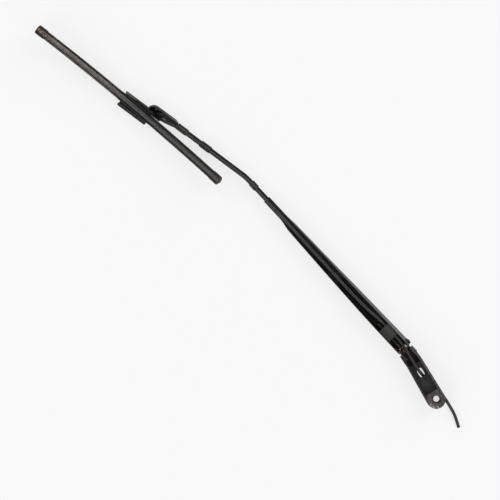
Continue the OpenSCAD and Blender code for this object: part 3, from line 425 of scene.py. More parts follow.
# %% [markdown]
# ## Rounded end caps
# The moulded caps are rounded off at the blade's ends, by more than the small bevel that all
# other edges get. A copy of each solid is merged into clean faces. A few slanted planes then
# cut each corner along an arc, and a narrow bevel softens the rim of the end face.

# %% End caps
CAP_ROUND = 3.0
CAP_CUTS = 5
CAP_SOFT = 0.6


def rounded_cap(node_name, piece_name):
    """A copy of the cap with its outer end rounded."""
    bm = bmesh.new()
    bm.from_mesh(NODES[node_name].data)
    bmesh.ops.remove_doubles(bm, verts=bm.verts[:], dist=0.005 * MM)
    bmesh.ops.dissolve_limit(bm, angle_limit=math.radians(1), verts=bm.verts[:],
                             edges=bm.edges[:])
    middle = sum((v.co for v in bm.verts), Vector()) / len(bm.verts)
    outward = (middle - tip(195.5, 16, -7) * MM).normalized()
    bm.normal_update()
    end = max((f for f in bm.faces if f.normal.dot(outward) > 0.8
               and (f.calc_center_median() - middle).dot(outward) > 0),
              key=lambda f: f.calc_area())
    outward = end.normal.copy()
    across = Vector((-outward.y, outward.x, 0)).normalized()
    reach = max(v.co.dot(outward) for v in bm.verts) - CAP_ROUND * MM
    for side in (-1, 1):
        wide = max(side * v.co.dot(across) for v in bm.verts) - CAP_ROUND * MM
        for step in range(1, CAP_CUTS + 1):
            turn = math.pi / 2 * step / (CAP_CUTS + 1)
            normal = math.cos(turn) * outward + side * math.sin(turn) * across
            cut = bmesh.ops.bisect_plane(
                bm, geom=bm.verts[:] + bm.edges[:] + bm.faces[:], dist=1e-6, clear_outer=True,
                plane_co=reach * outward + side * wide * across + CAP_ROUND * MM * normal,
                plane_no=normal)["geom_cut"]
            bmesh.ops.holes_fill(bm, edges=[g for g in cut if isinstance(g, bmesh.types.BMEdge)],
                                 sides=0)
    bmesh.ops.remove_doubles(bm, verts=bm.verts[:], dist=0.005 * MM)
    bmesh.ops.recalc_face_normals(bm, faces=bm.faces[:])
    bm.normal_update()
    open_edges = sum(not e.is_manifold for e in bm.edges)
    ends = [f for f in bm.faces if f.normal.dot(outward) > 0.9
            and (f.calc_center_median() - middle).dot(outward) > 0]
    far = max((f.calc_center_median() - middle).dot(outward) for f in ends)
    ends = [f for f in ends if (f.calc_center_median() - middle).dot(outward) > far - 1 * MM]
    rim = list({e for f in ends for e in f.edges if e.calc_face_angle(0) > 0.5})
    bmesh.ops.bevel(bm, geom=rim, offset=CAP_SOFT * MM, offset_type="OFFSET", segments=3,
                    profile=0.5, affect="EDGES", clamp_overlap=True, material=-1)
    cap = new_piece(piece_name, bm)
    cap.data.set_sharp_from_angle(angle=math.radians(35))
    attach(cap, "blade")
    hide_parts(node_name)
    print(piece_name, len(cap.data.polygons), "faces,", open_edges, "open edges")
    return cap


cap_outer = rounded_cap("end_cap_outer", "cap_outer")
cap_inner = rounded_cap("end_cap_inner", "cap_inner")

# %% [markdown]
# ## Softened edges on the solids
# Pressed sheet, castings and mouldings never end in a knife edge. Each CAD mesh comes in as
# loose triangles, so a Weld modifier joins them first, and a Bevel modifier then rounds only
# the edges sharper than a limit. The meshes themselves stay untouched.

# %% Bevels
EDGE_ROUND = {
    "mounting_head": 0.5, "arm_channel": 0.3, "arm_bar": 0.35, "hose_guide": 0.4,
    "spring_link": 0.3, "tip_cover": 0.5, "nozzle_housing": 0.3, "adapter": 0.3,
    "hose_clip_1": 0.25, "hose_clip_2": 0.25, "hose_clip_3": 0.25, "jet_manifold": 0.25,
    "blade_connector": 0.2,
    "hinge_rivet_right": 0.2, "hinge_rivet_left": 0.2, "spring_stud": 0.2, "bar_rivets": 0.2,
    "washer_jets": 0.15, "pivot_pin": 0.2,
}
for name, radius in EDGE_ROUND.items():
    weld = NODES[name].modifiers.new("weld", "WELD")
    weld.merge_threshold = 0.01 * MM
    bevel = NODES[name].modifiers.new("round", "BEVEL")
    bevel.width = radius * MM
    bevel.segments = 2
    bevel.limit_method = "ANGLE"
    bevel.angle_limit = math.radians(38)
    bevel.use_clamp_overlap = True
    bevel.harden_normals = True
print("rounded:", len(EDGE_ROUND), "solids")

# %% [markdown]
# ## Colours and nodes
# A picture editor gives colours as hex values in sRGB, and a shader wants linear light, so
# one function turns one into the other. A second small function adds a node, sets its
# values and links its inputs, which keeps each material readable as a list.

# %% Material helpers
def colour(hex_value):
    """A shader colour from an sRGB hex value."""
    parts = [int(hex_value[i:i + 2], 16) / 255 for i in (1, 3, 5)]
    return tuple(c / 12.92 if c <= 0.04045 else ((c + 0.055) / 1.055) ** 2.4 for c in parts) + (1,)


def node(tree, kind, inputs=None, **settings):
    """Adds a node; inputs maps a socket's name or number to a value or another node's output."""
    made = tree.nodes.new(kind)
    for key, value in settings.items():
        setattr(made, key, value)
    for key, value in (inputs or {}).items():
        if isinstance(value, bpy.types.NodeSocket):
            tree.links.new(value, made.inputs[key])
        else:
            made.inputs[key].default_value = value
    return made


def blank_material(name):
    """A material with an empty tree and its shader, ready for nodes."""
    material = bpy.data.materials.new(name)
    material.use_nodes = True
    tree = material.node_tree
    tree.nodes.clear()
    shader = node(tree, "ShaderNodeBsdfPrincipled")
    node(tree, "ShaderNodeOutputMaterial", {"Surface": shader.outputs["BSDF"]})
    return material, tree, shader


def ramp(tree, value, *stops):
    """A colour ramp through (place, hex colour) stops."""
    made = node(tree, "ShaderNodeValToRGB", {"Fac": value})
    elements = made.color_ramp.elements
    while len(elements) < len(stops):
        elements.new(0.5)
    for element, (place, hex_value) in zip(elements, stops):
        element.position = place
        element.color = colour(hex_value)
    return made.outputs["Color"]


def per_mm(size):
    """The scale that makes a noise feature about this many millimetres wide."""
    return 1 / (size * MM)


def fade(tree, value, start, full, top=1.0):
    """A mask that is 0 up to start and top from full on, where start may be the larger."""
    return node(tree, "ShaderNodeMapRange", {"Value": value, "From Min": start, "From Max": full,
                                             "To Max": top}).outputs["Result"]


def product(tree, *masks):
    """All the masks multiplied."""
    result = masks[0]
    for mask in masks[1:]:
        result = node(tree, "ShaderNodeMath", {0: result, 1: mask},
                      operation="MULTIPLY").outputs[0]
    return result


def noise(tree, coords, size, detail=5, rough=0.6):
    """Soft noise from 0 to 1 with features of about this size in millimetres."""
    return node(tree, "ShaderNodeTexNoise", {"Vector": coords, "Scale": per_mm(size),
                                             "Detail": detail, "Roughness": rough}).outputs["Fac"]


def lay_over(material, mask, tint):
    """Lays a tint over the colour that the material has so far, where the mask is bright."""
    tree = material.node_tree
    base = tree.nodes["Principled BSDF"].inputs["Base Color"]
    over = node(tree, "ShaderNodeMix", {0: mask, 6: base.links[0].from_socket, 7: tint},
                data_type="RGBA")
    tree.links.new(over.outputs[2], base)


def less_shine(material, mask):
    """Takes the shine away where the mask is bright, as in a deep hollow that mirrors nothing."""
    tree = material.node_tree
    level = node(tree, "ShaderNodeMath", {0: mask, 1: -0.48, 2: 0.5}, operation="MULTIPLY_ADD")
    tree.links.new(level.outputs[0], tree.nodes["Principled BSDF"].inputs["Specular IOR Level"])


def stretch_place(tree):
    """Object coordinates, and the place along and across the bar's second stretch."""
    coords = node(tree, "ShaderNodeTexCoord").outputs["Object"]
    turned = node(tree, "ShaderNodeMapping", {"Vector": coords, "Location": BEND * MM,
                                              "Rotation": (0, 0, BAR_TURN)},
                  vector_type="TEXTURE")
    place = node(tree, "ShaderNodeSeparateXYZ", {"Vector": turned.outputs[0]})
    return coords, place.outputs["X"], place.outputs["Y"], place.outputs["Z"]


def wear_at_edges(tree, radius):
    """A mask that is bright where the surface turns over an edge within the radius."""
    soft = node(tree, "ShaderNodeBevel", {"Radius": radius * MM}, samples=4)
    true = node(tree, "ShaderNodeNewGeometry")
    same = node(tree, "ShaderNodeVectorMath", {0: soft.outputs[0], 1: true.outputs["Normal"]},
                operation="DOT_PRODUCT")
    return node(tree, "ShaderNodeMapRange", {"Value": same.outputs["Value"], "From Min": 0.995,
                                             "From Max": 0.8}).outputs["Result"]


print("colour check: #808080 is", round(colour("#808080")[0], 3), "in linear light")

# %% [markdown]
# ## Dust over a finish
# Every surface of this arm has lived outdoors, so all its finishes share one upper layer: road
# dust that settles in soft patches some centimetres wide and breaks up into specks.
# It is two noises multiplied, laid over the clean colour. Dust is dull, so it also raises
# the roughness. Each finish says how much of it there is and what tint it has.

# %% Dust layer
def dusted(tree, coords, clean, dust_hex, amount, patch_mm=18, speck_mm=1.2):
    """Lays dust over the clean colour; returns the colour and the dust mask."""
    patch = node(tree, "ShaderNodeTexNoise", {"Vector": coords, "Scale": per_mm(patch_mm),
                                              "Detail": 4, "Roughness": 0.6})
    speck = node(tree, "ShaderNodeTexNoise", {"Vector": coords, "Scale": per_mm(speck_mm),
                                              "Detail": 6, "Roughness": 0.75})
    patch = node(tree, "ShaderNodeMapRange", {"Value": patch.outputs["Fac"], "From Min": 0.4,
                                              "From Max": 0.72})
    speck = node(tree, "ShaderNodeMapRange", {"Value": speck.outputs["Fac"], "From Min": 0.35,
                                              "From Max": 0.75, "To Min": 0.25})
    both = node(tree, "ShaderNodeMath", {0: patch.outputs["Result"], 1: speck.outputs["Result"]},
                operation="MULTIPLY")
    mask = node(tree, "ShaderNodeMath", {0: both.outputs[0], 1: amount}, operation="MULTIPLY")
    mixed = node(tree, "ShaderNodeMix", {0: mask.outputs[0], 6: clean, 7: colour(dust_hex)},
                 data_type="RGBA")
    return mixed.outputs[2], mask.outputs[0]


def rough_range(tree, mask, clean, dull):
    """Roughness that goes from clean to dull with the mask."""
    return node(tree, "ShaderNodeMapRange", {"Value": mask, "To Min": clean,
                                             "To Max": dull}).outputs["Result"]


print("dust: patches of 18 mm, specks of 1.2 mm")

# %% [markdown]
# ## Black paint on steel and on the casting
# The channel is pressed steel and the head a die casting; both are dip-coated in a thin black
# paint, satin when new. Years of sun turn it slightly grey, grit scratches it along the arm,
# and at edges the paint is polished brown-grey or gone. A dark colour with faint mottling,
# long thin scratches and an edge mask gives that.

# %% Black paint
def black_paint(name, deep, faded, dust_amount, edge_hex, edge_amount):
    material, tree, shader = blank_material(name)
    coords = node(tree, "ShaderNodeTexCoord").outputs["Object"]
    mottle = node(tree, "ShaderNodeTexNoise", {"Vector": coords, "Scale": per_mm(9), "Detail": 5})
    base = ramp(tree, mottle.outputs["Fac"], (0.35, deep), (0.7, faded))
    long_way = node(tree, "ShaderNodeMapping", {"Vector": coords, "Scale": (0.03, 1, 1)})
    scratch = node(tree, "ShaderNodeTexNoise", {"Vector": long_way.outputs[0],
                                                "Scale": per_mm(0.5), "Detail": 2})
    scratch = node(tree, "ShaderNodeMapRange", {"Value": scratch.outputs["Fac"],
                                                "From Min": 0.66, "From Max": 0.8, "To Max": 0.5})
    scratched = node(tree, "ShaderNodeMix", {0: scratch.outputs["Result"], 6: base,
                                             7: colour("#4c4945")}, data_type="RGBA")
    dusty, mask = dusted(tree, coords, scratched.outputs[2], "#6b655c", dust_amount)
    chips = node(tree, "ShaderNodeTexNoise", {"Vector": coords, "Scale": per_mm(1.6), "Detail": 5})
    chip_mask = node(tree, "ShaderNodeMapRange", {"Value": chips.outputs["Fac"],
                                                  "From Min": 0.45, "From Max": 0.62,
                                                  "To Max": edge_amount})
    edges = node(tree, "ShaderNodeMath", {0: wear_at_edges(tree, 0.5),
                                          1: chip_mask.outputs["Result"]}, operation="MULTIPLY")
    worn = node(tree, "ShaderNodeMix", {0: edges.outputs[0], 6: dusty, 7: colour(edge_hex)},
                data_type="RGBA").outputs[2]
    peel = node(tree, "ShaderNodeTexNoise", {"Vector": coords, "Scale": per_mm(1.1), "Detail": 3})
    bump = node(tree, "ShaderNodeBump", {"Height": peel.outputs["Fac"], "Strength": 0.25,
                                         "Distance": 0.05 * MM})
    tree.links.new(worn, shader.inputs["Base Color"])
    tree.links.new(rough_range(tree, mask, 0.4, 0.75), shader.inputs["Roughness"])
    tree.links.new(bump.outputs["Normal"], shader.inputs["Normal"])
    return material


dipped_steel = black_paint("dip_painted_steel", "#0d0d0e", "#1b1b1c", 0.22, "#5d564e", 0.5)
cast_paint = black_paint("painted_die_casting", "#151415", "#252425", 0.22, "#6e6459", 0.6)
print("paint:", dipped_steel.name, "and", cast_paint.name)

# %% [markdown]
# ## Where hands and tools have rubbed the head
# The head is the piece that gets gripped and levered off, so its paint differs from place to place.
# The boss round the spindle is scuffed to a dull grey with a few rust flecks, the right rim is
# rubbed grey with bright specks, the left rim is still dark, and near the hinge rusty grease
# has dried. In the hollow by the hinge, a near-black patch is painted shade.
# Each is a mask from the place on the head, laid over the paint.

# %% Scuffs on the head
tree = cast_paint.node_tree
coords = node(tree, "ShaderNodeTexCoord").outputs["Object"]
place = node(tree, "ShaderNodeSeparateXYZ", {"Vector": coords})
head_x, head_y, head_z = (place.outputs[k] for k in "XYZ")
flat = node(tree, "ShaderNodeVectorMath", {0: coords, 1: (1, 1, 0)}, operation="MULTIPLY")
from_spindle = node(tree, "ShaderNodeVectorMath", {0: flat.outputs[0]},
                    operation="LENGTH").outputs["Value"]
on_top = fade(tree, head_z, 5 * MM, 9 * MM)
inside = fade(tree, head_z, 9 * MM, 5 * MM)
boss = product(tree, on_top, fade(tree, from_spindle, 17 * MM, 14 * MM))
beyond_boss = product(tree, on_top, fade(tree, from_spindle, 14 * MM, 17 * MM))
right_rim = product(tree, beyond_boss, fade(tree, head_y, -9 * MM, -13 * MM))
left_rim = product(tree, beyond_boss, fade(tree, head_y, -9 * MM, -3 * MM))
scuff = noise(tree, coords, 3.0, 7, 0.7)
lay_over(cast_paint, product(tree, boss, 0.9),
         ramp(tree, scuff, (0.38, "#2a2728"), (0.5, "#474344"), (0.62, "#625c5d")))
flecks = fade(tree, noise(tree, coords, 2.2, 6, 0.7), 0.5, 0.62, 0.75)
lay_over(cast_paint, product(tree, boss, fade(tree, head_y, -2 * MM, 8 * MM), flecks),
         colour("#5b4238"))
scraped = fade(tree, noise(tree, coords, 2.6, 4, 0.6), 0.5, 0.56, 0.85)
lay_over(cast_paint, product(tree, on_top, fade(tree, from_spindle, 9.5 * MM, 11 * MM),
                             fade(tree, head_y, 1 * MM, 5 * MM), fade(tree, head_x, 6 * MM, 0),
                             scraped), colour("#a7a3a4"))
lay_over(cast_paint, right_rim, ramp(tree, scuff, (0.35, "#2e2b2c"), (0.65, "#464243")))
chips = fade(tree, noise(tree, coords, 1.3, 3), 0.56, 0.62, 0.8)
facing = node(tree, "ShaderNodeNewGeometry").outputs["Normal"]
faces_up = fade(tree, node(tree, "ShaderNodeSeparateXYZ", {"Vector": facing}).outputs["Z"],
                0.3, 0.6)
lay_over(cast_paint, product(tree, right_rim, chips, faces_up), colour("#8d898a"))
lay_over(cast_paint, left_rim, ramp(tree, scuff, (0.35, "#161516"), (0.65, "#242223")))
grease = fade(tree, noise(tree, coords, 6.0, 6, 0.7), 0.38, 0.6, 0.8)
lay_over(cast_paint, product(tree, inside, fade(tree, head_x, 44 * MM, 62 * MM), grease),
         colour("#30201c"))
# Painted shade: a near-black patch in the hollow by the hinge, where the walls shade it.
lay_over(cast_paint, product(tree, inside, fade(tree, head_x, 46 * MM, 54 * MM),
                             fade(tree, head_y, -13 * MM, -9 * MM), 0.6), colour("#080707"))
print("head: boss, two rims and the hinge end differ")

# %% [markdown]
# ## Bare and rusty steel
# The spring, its link and the pins were zinc plated. The zinc has gone dull and dark, and rust
# blooms through it in brown patches. Steel is metallic and rust isn't, so one mask drives
# the colour, the metal and the roughness together.

# %% Rusty steel
def plated_steel(name, plate_hex, rust_from, rust_to, rusty_x=None):
    material, tree, shader = blank_material(name)
    coords = node(tree, "ShaderNodeTexCoord").outputs["Object"]
    bloom = node(tree, "ShaderNodeTexNoise", {"Vector": coords, "Scale": per_mm(6), "Detail": 8,
                                              "Roughness": 0.7})
    rust = node(tree, "ShaderNodeMapRange", {"Value": bloom.outputs["Fac"], "From Min": rust_from,
                                             "From Max": rust_to}).outputs["Result"]
    if rusty_x:
        place = node(tree, "ShaderNodeSeparateXYZ", {"Vector": coords}).outputs["X"]
        near = node(tree, "ShaderNodeMapRange", {"Value": place, "From Min": rusty_x[0] * MM,
                                                 "From Max": rusty_x[1] * MM, "To Min": 1.0,
                                                 "To Max": 0.12})
        rust = node(tree, "ShaderNodeMath", {0: rust, 1: near.outputs["Result"]},
                    operation="MULTIPLY").outputs[0]
    grain = node(tree, "ShaderNodeTexNoise", {"Vector": coords, "Scale": per_mm(0.8), "Detail": 6})
    rust_tint = ramp(tree, grain.outputs["Fac"], (0.35, "#23160f"), (0.65, "#5a3626"))
    mixed = node(tree, "ShaderNodeMix", {0: rust, 6: colour(plate_hex), 7: rust_tint},
                 data_type="RGBA")
    metal = node(tree, "ShaderNodeMapRange", {"Value": rust, "To Min": 1.0, "To Max": 0.0})
    bump = node(tree, "ShaderNodeBump", {"Height": grain.outputs["Fac"], "Strength": 0.5,
                                         "Distance": 0.08 * MM})
    tree.links.new(mixed.outputs[2], shader.inputs["Base Color"])
    tree.links.new(metal.outputs["Result"], shader.inputs["Metallic"])
    tree.links.new(rough_range(tree, rust, 0.42, 0.9), shader.inputs["Roughness"])
    tree.links.new(bump.outputs["Normal"], shader.inputs["Normal"])
    return material


link_steel = plated_steel("dull_zinc_plated_steel", "#33312e", 0.4, 0.6, rusty_x=(94, 106))
spring_steel = plated_steel("phosphated_spring_steel", "#262524", 0.55, 0.8)
jet_steel = plated_steel("stainless_jet", "#8d8a84", 0.7, 0.9)
print("steel:", link_steel.name, spring_steel.name, jet_steel.name)

# %% [markdown]
# ## Moulded plastic
# The hose guide, clips, nozzle housing, cover and end caps are glass-filled nylon, moulded with a
# fine spark-eroded grain. Sun bleaches it to a flat dark grey and the grain holds dust.
# The grain is about 0.4 mm, drawn here as a noise bump at that size.

# %% Moulded plastic
def moulded(name, deep, faded, dust_amount, clean_rough):
    material, tree, shader = blank_material(name)
    coords = node(tree, "ShaderNodeTexCoord").outputs["Object"]
    fade = node(tree, "ShaderNodeTexNoise", {"Vector": coords, "Scale": per_mm(14), "Detail": 4})
    base = ramp(tree, fade.outputs["Fac"], (0.35, deep), (0.68, faded))
    dusty, mask = dusted(tree, coords, base, "#77716a", dust_amount, patch_mm=10)
    rubbed = node(tree, "ShaderNodeMath", {0: wear_at_edges(tree, 0.5), 1: 0.45},
                  operation="MULTIPLY")
    worn = node(tree, "ShaderNodeMix", {0: rubbed.outputs[0], 6: dusty, 7: colour("#6a6763")},
                data_type="RGBA")
    grain = node(tree, "ShaderNodeTexNoise", {"Vector": coords, "Scale": per_mm(0.4), "Detail": 2})
    bump = node(tree, "ShaderNodeBump", {"Height": grain.outputs["Fac"], "Strength": 0.35,
                                         "Distance": 0.06 * MM})
    tree.links.new(worn.outputs[2], shader.inputs["Base Color"])
    tree.links.new(rough_range(tree, mask, clean_rough, 0.85), shader.inputs["Roughness"])
    tree.links.new(bump.outputs["Normal"], shader.inputs["Normal"])
    return material


faded_nylon = moulded("faded_glass_filled_nylon", "#1a1a1b", "#2b2b2b", 0.3, 0.5)
guide_nylon = moulded("smooth_moulded_nylon", "#262626", "#363635", 0.15, 0.45)
acetal = moulded("black_acetal", "#121213", "#1b1b1c", 0.2, 0.38)
print("plastic:", faded_nylon.name, guide_nylon.name, acetal.name)

# %% [markdown]
# ## Housing, cover and caps
# The three larger mouldings are the same nylon, each with its own tones. The bulb of the housing is
# open and deep, and its inside is painted nearly black as painted shade, without shine. The cover is
# lighter at its outer wall, and painted shade darkens its slot and its far edge. The caps are dark
# with brown dirt and bright specks.

# %% Housing, cover and caps
BULB_R = 11.4
BULB_V = 4.8
shell_nylon = moulded("housing_nylon", "#1b1b1b", "#2c2c2b", 0.3, 0.6)
tree = shell_nylon.node_tree
coords, along, across, height = stretch_place(tree)
past_centre = node(tree, "ShaderNodeMath", {0: along, 1: BULB_U * MM, 2: 0.0},
                   operation="SUBTRACT", use_clamp=True).outputs[0]
from_centre = node(tree, "ShaderNodeVectorMath", {0: node(
    tree, "ShaderNodeCombineXYZ", {"X": past_centre, "Y": across}).outputs[0],
    1: (0, BULB_V * MM, 0)}, operation="DISTANCE").outputs["Value"]
# Painted shade: the deep inside of the bulb is painted nearly black and loses its shine.
bulb_painted_shade = product(tree, fade(tree, along, 150 * MM, 156 * MM),
                      fade(tree, from_centre, (BULB_R - 0.8) * MM, (BULB_R - 1.6) * MM),
                      fade(tree, height, 4.4 * MM, 3.0 * MM), 0.95)
lay_over(shell_nylon, bulb_painted_shade, colour("#050505"))
less_shine(shell_nylon, bulb_painted_shade)

cover_nylon = moulded("cover_nylon", "#222223", "#343433", 0.25, 0.64)
tree = cover_nylon.node_tree
coords, along, across, height = stretch_place(tree)
outer_wall = product(tree, fade(tree, across, 8 * MM, 6 * MM), fade(tree, along, 188 * MM, 208 * MM))
lay_over(cover_nylon, product(tree, outer_wall, 0.85), colour("#5d5b59"))
# Painted shade: a near-black band along the cover's far edge, 26 to 27.5 mm across.
lay_over(cover_nylon, fade(tree, across, 26 * MM, 27.5 * MM, 0.85), colour("#0b0b0b"))
# Painted shade: the slot beside the blade, 6 to 9 mm across, is painted near black.
slot_painted_shade = product(tree, fade(tree, across, 5 * MM, 6 * MM), fade(tree, across, 10.5 * MM, 9 * MM),
                    fade(tree, along, 205 * MM, 190 * MM), 0.8)
lay_over(cover_nylon, slot_painted_shade, colour("#060606"))

cap_nylon = moulded("cap_nylon", "#201f1e", "#31302e", 0.5, 0.6)
tree = cap_nylon.node_tree
coords = node(tree, "ShaderNodeTexCoord").outputs["Object"]
dirt = fade(tree, noise(tree, coords, 4.0, 6, 0.7), 0.42, 0.62, 0.8)
lay_over(cap_nylon, dirt, colour("#42362f"))
specks = fade(tree, noise(tree, coords, 1.5, 3), 0.6, 0.66, 0.8)
lay_over(cap_nylon, specks, colour("#8f887f"))

tree = guide_nylon.node_tree
coords = node(tree, "ShaderNodeTexCoord").outputs["Object"]
place = node(tree, "ShaderNodeSeparateXYZ", {"Vector": coords}).outputs["Y"]
# Painted shade: the guide darkens towards both its sides, so that its top looks domed.
lay_over(guide_nylon, fade(tree, place, -15.5 * MM, -11 * MM, 0.75), colour("#1d1d1c"))
lay_over(guide_nylon, fade(tree, place, -19 * MM, -23 * MM, 0.75), colour("#1f1f1e"))
print("mouldings:", shell_nylon.name, cover_nylon.name, cap_nylon.name)

# %% [markdown]
# ## Rubber
# The hose is extruded EPDM: matt, a little greyer than the paint, with a fine grain.
# The wiping strip and the spoilers are extruded too. Their outer half stood in the wet and is
# greyed by dried dirt, while the inner half is still dark. Across the blade their tones also hold
# painted light: a painted highlight along the lip's crest, and lighter tones in the shaded valleys
# beside it.
# A mapping puts the pattern in the blade's own direction, so that streaks run along it and the
# fade follows its length.

# %% Rubber
def hose_rubber():
    material, tree, shader = blank_material("extruded_hose_rubber")
    coords = node(tree, "ShaderNodeTexCoord").outputs["Object"]
    bloom = node(tree, "ShaderNodeTexNoise", {"Vector": coords, "Scale": per_mm(7), "Detail": 5})
    base = ramp(tree, bloom.outputs["Fac"], (0.35, "#181818"), (0.7, "#272626"))
    dusty, mask = dusted(tree, coords, base, "#6f6a62", 0.25, patch_mm=12)
    grain = node(tree, "ShaderNodeTexNoise", {"Vector": coords, "Scale": per_mm(0.6), "Detail": 3})
    bump = node(tree, "ShaderNodeBump", {"Height": grain.outputs["Fac"], "Strength": 0.2,
                                         "Distance": 0.05 * MM})
    tree.links.new(dusty, shader.inputs["Base Color"])
    tree.links.new(rough_range(tree, mask, 0.48, 0.85), shader.inputs["Roughness"])
    tree.links.new(bump.outputs["Normal"], shader.inputs["Normal"])
    return material


PIVOT = tip(195.5, 16, -7)
BLADE_TURN = math.radians(10.2 - 3.2)
BLADE_HALF = 178.0
BLADE_SHIFT = 10.0
BLADE_BOW = 3.85


def blade_rubber(name, clean_and_lit_bands, dried_and_lit_bands):
    """Bands are (mm across the blade, hex colour) stops: clean for its inner half, then dried; their
    tones across the blade also hold painted light.
    """
    material, tree, shader = blank_material(name)
    coords = node(tree, "ShaderNodeTexCoord").outputs["Object"]
    blade = node(tree, "ShaderNodeMapping",
                 {"Vector": coords, "Location": PIVOT * MM, "Rotation": (0, 0, BLADE_TURN)},
                 vector_type="TEXTURE").outputs[0]
    place = node(tree, "ShaderNodeSeparateXYZ", {"Vector": blade})
    along = place.outputs["X"]
    share = node(tree, "ShaderNodeMapRange", {"Value": along, "From Min": BLADE_SHIFT * MM,
                                              "From Max": (BLADE_SHIFT + BLADE_HALF) * MM},
                 clamp=False).outputs["Result"]
    bow = product(tree, share, share, BLADE_BOW * MM)
    side = node(tree, "ShaderNodeMath", {0: place.outputs["Y"], 1: bow},
                operation="SUBTRACT").outputs[0]
    half = clean_and_lit_bands[-1][0]
    across = fade(tree, side, -half * MM, half * MM)
    # Painted light: the tones across the blade are lighter along the lip's crest and in the shaded
    # valleys beside it, over the clean and dried colours.
    clean, dried = (ramp(tree, across, *(((mm + half) / (2 * half), tint) for mm, tint in bands))
                    for bands in (clean_and_lit_bands, dried_and_lit_bands))

    lengthways = node(tree, "ShaderNodeMapping", {"Vector": blade,
                                                  "Scale": (0.12, 1, 1)}).outputs[0]
    patch = fade(tree, noise(tree, lengthways, 3.0, 8, 0.8), 0.32, 0.54)
    outward = fade(tree, along, -5 * MM, 85 * MM)
    mixed = node(tree, "ShaderNodeMix", {0: product(tree, outward, patch), 6: clean, 7: dried},
                 data_type="RGBA").outputs[2]
    streak = noise(tree, lengthways, 1.2, 5, 0.7)
    shade = ramp(tree, streak, (0.32, "#848484"), (0.68, "#ffffff"))
    mixed = node(tree, "ShaderNodeMix", {0: 1.0, 6: mixed, 7: shade}, data_type="RGBA",
                 blend_type="MULTIPLY").outputs[2]
    tree.links.new(mixed, shader.inputs["Base Color"])

    brown = product(tree, fade(tree, along, 140 * MM, 172 * MM),
                    fade(tree, noise(tree, lengthways, 5.0, 6, 0.7), 0.4, 0.55, 0.85))
    lay_over(material, brown, colour("#43352c"))
    near_cover = product(tree, fade(tree, along, 62 * MM, 45 * MM),
                         fade(tree, along, 18 * MM, 44 * MM),
                         fade(tree, noise(tree, lengthways, 4.0, 6, 0.7), 0.48, 0.6, 0.7))
    lay_over(material, near_cover, colour("#51423b"))
    spots = fade(tree, noise(tree, blade, 3.0, 2, 0.5), 0.54, 0.62, 0.85)
    lay_over(material, product(tree, spots, fade(tree, along, 125 * MM, 160 * MM)),
             colour("#a8a095"))
    lay_over(material, product(tree, spots, fade(tree, along, 75 * MM, 55 * MM),
                               fade(tree, along, 18 * MM, 44 * MM), 0.6), colour("#98908a"))
    bump = node(tree, "ShaderNodeBump", {"Height": streak, "Strength": 0.3,
                                         "Distance": 0.06 * MM})
    tree.links.new(rough_range(tree, outward, 0.5, 0.85), shader.inputs["Roughness"])
    tree.links.new(bump.outputs["Normal"], shader.inputs["Normal"])
    return material


hose_finish = hose_rubber()
tree = hose_finish.node_tree
coords, along, across, height = stretch_place(tree)
# Painted shade: the hose inside the bulb is painted nearly black and loses its shine.
hose_bulb_painted_shade = fade(tree, along, 146 * MM, 158 * MM, 0.95)
lay_over(hose_finish, hose_bulb_painted_shade, colour("#060606"))
less_shine(hose_finish, hose_bulb_painted_shade)
# Across the blade these bands hold painted light as well as clean and dried rubber: a painted
# highlight along the lip's crest, and the valley between lip and spoiler lightened against its
# shade.
LIP_CLEAN_AND_PAINTED_LIGHT = [(-4.4, "#434342"), (-3, "#3e3e3d"), (-1, "#4c4c4b"), (0.5, "#595856"),
             (2, "#5b5958"), (4.4, "#6c6a69")]
LIP_DRIED_AND_PAINTED_LIGHT = [(-4.4, "#8b8785"), (-3, "#a39e9c"), (-1.5, "#a19c9a"), (0, "#8d8987"),
             (2, "#7b7776"), (4.4, "#7f7b7a")]
SPOILER_CLEAN_AND_PAINTED_LIGHT = [(-6.6, "#3a3938"), (-4.5, "#353433"), (2, "#3a3938"), (3.2, "#565351"),
                 (4.8, "#4c4a48"), (6.6, "#454443")]
SPOILER_DRIED_AND_PAINTED_LIGHT = [(-6.6, "#4c4a48"), (-4.5, "#494644"), (2, "#5a5755"), (3.2, "#afaaa6"),
                 (5, "#8f8a87"), (6.6, "#7a7673")]
lip_rubber = blade_rubber("wiping_lip_rubber", LIP_CLEAN_AND_PAINTED_LIGHT, LIP_DRIED_AND_PAINTED_LIGHT)
spoiler_rubber = blade_rubber("weathered_spoiler_rubber", SPOILER_CLEAN_AND_PAINTED_LIGHT, SPOILER_DRIED_AND_PAINTED_LIGHT)
print("rubber:", hose_finish.name, lip_rubber.name, spoiler_rubber.name)

# %% [markdown]
# ## Dressing the pieces
# Each solid and each new piece takes one of the finishes above.

# %% Assign finishes
FINISHES = {
    cast_paint: ["mounting_head"],
    dipped_steel: ["arm_channel", "arm_bar", "bar_rivets", "hinge_rivet_right",
                   "hinge_rivet_left"],
    link_steel: ["spring_stud", "spring_link", "pivot_pin"],
    spring_steel: ["rail_front", "rail_back"],
    jet_steel: ["washer_jets"],
    guide_nylon: ["hose_guide"],
    faded_nylon: ["hose_clip_1", "hose_clip_2", "hose_clip_3"],
    shell_nylon: ["nozzle_housing"],
    cover_nylon: ["tip_cover"],
    cap_nylon: ["end_cap_outer", "end_cap_inner"],
    acetal: ["jet_manifold", "adapter", "blade_connector"],
    lip_rubber: ["wiping_rubber"],
    spoiler_rubber: ["spoiler_outer", "spoiler_inner"],
}
for finish, names in FINISHES.items():
    for name in names:
        NODES[name].data.materials.clear()
        NODES[name].data.materials.append(finish)
NEW_PIECES = [(washer_hose, hose_finish), (hose_end, hose_finish), (spring_wire, spring_steel),
              (bore_flutes, link_steel), (hole_collar, cast_paint), (housing_lip, faded_nylon),
              (cap_outer, cap_nylon), (cap_inner, cap_nylon)]
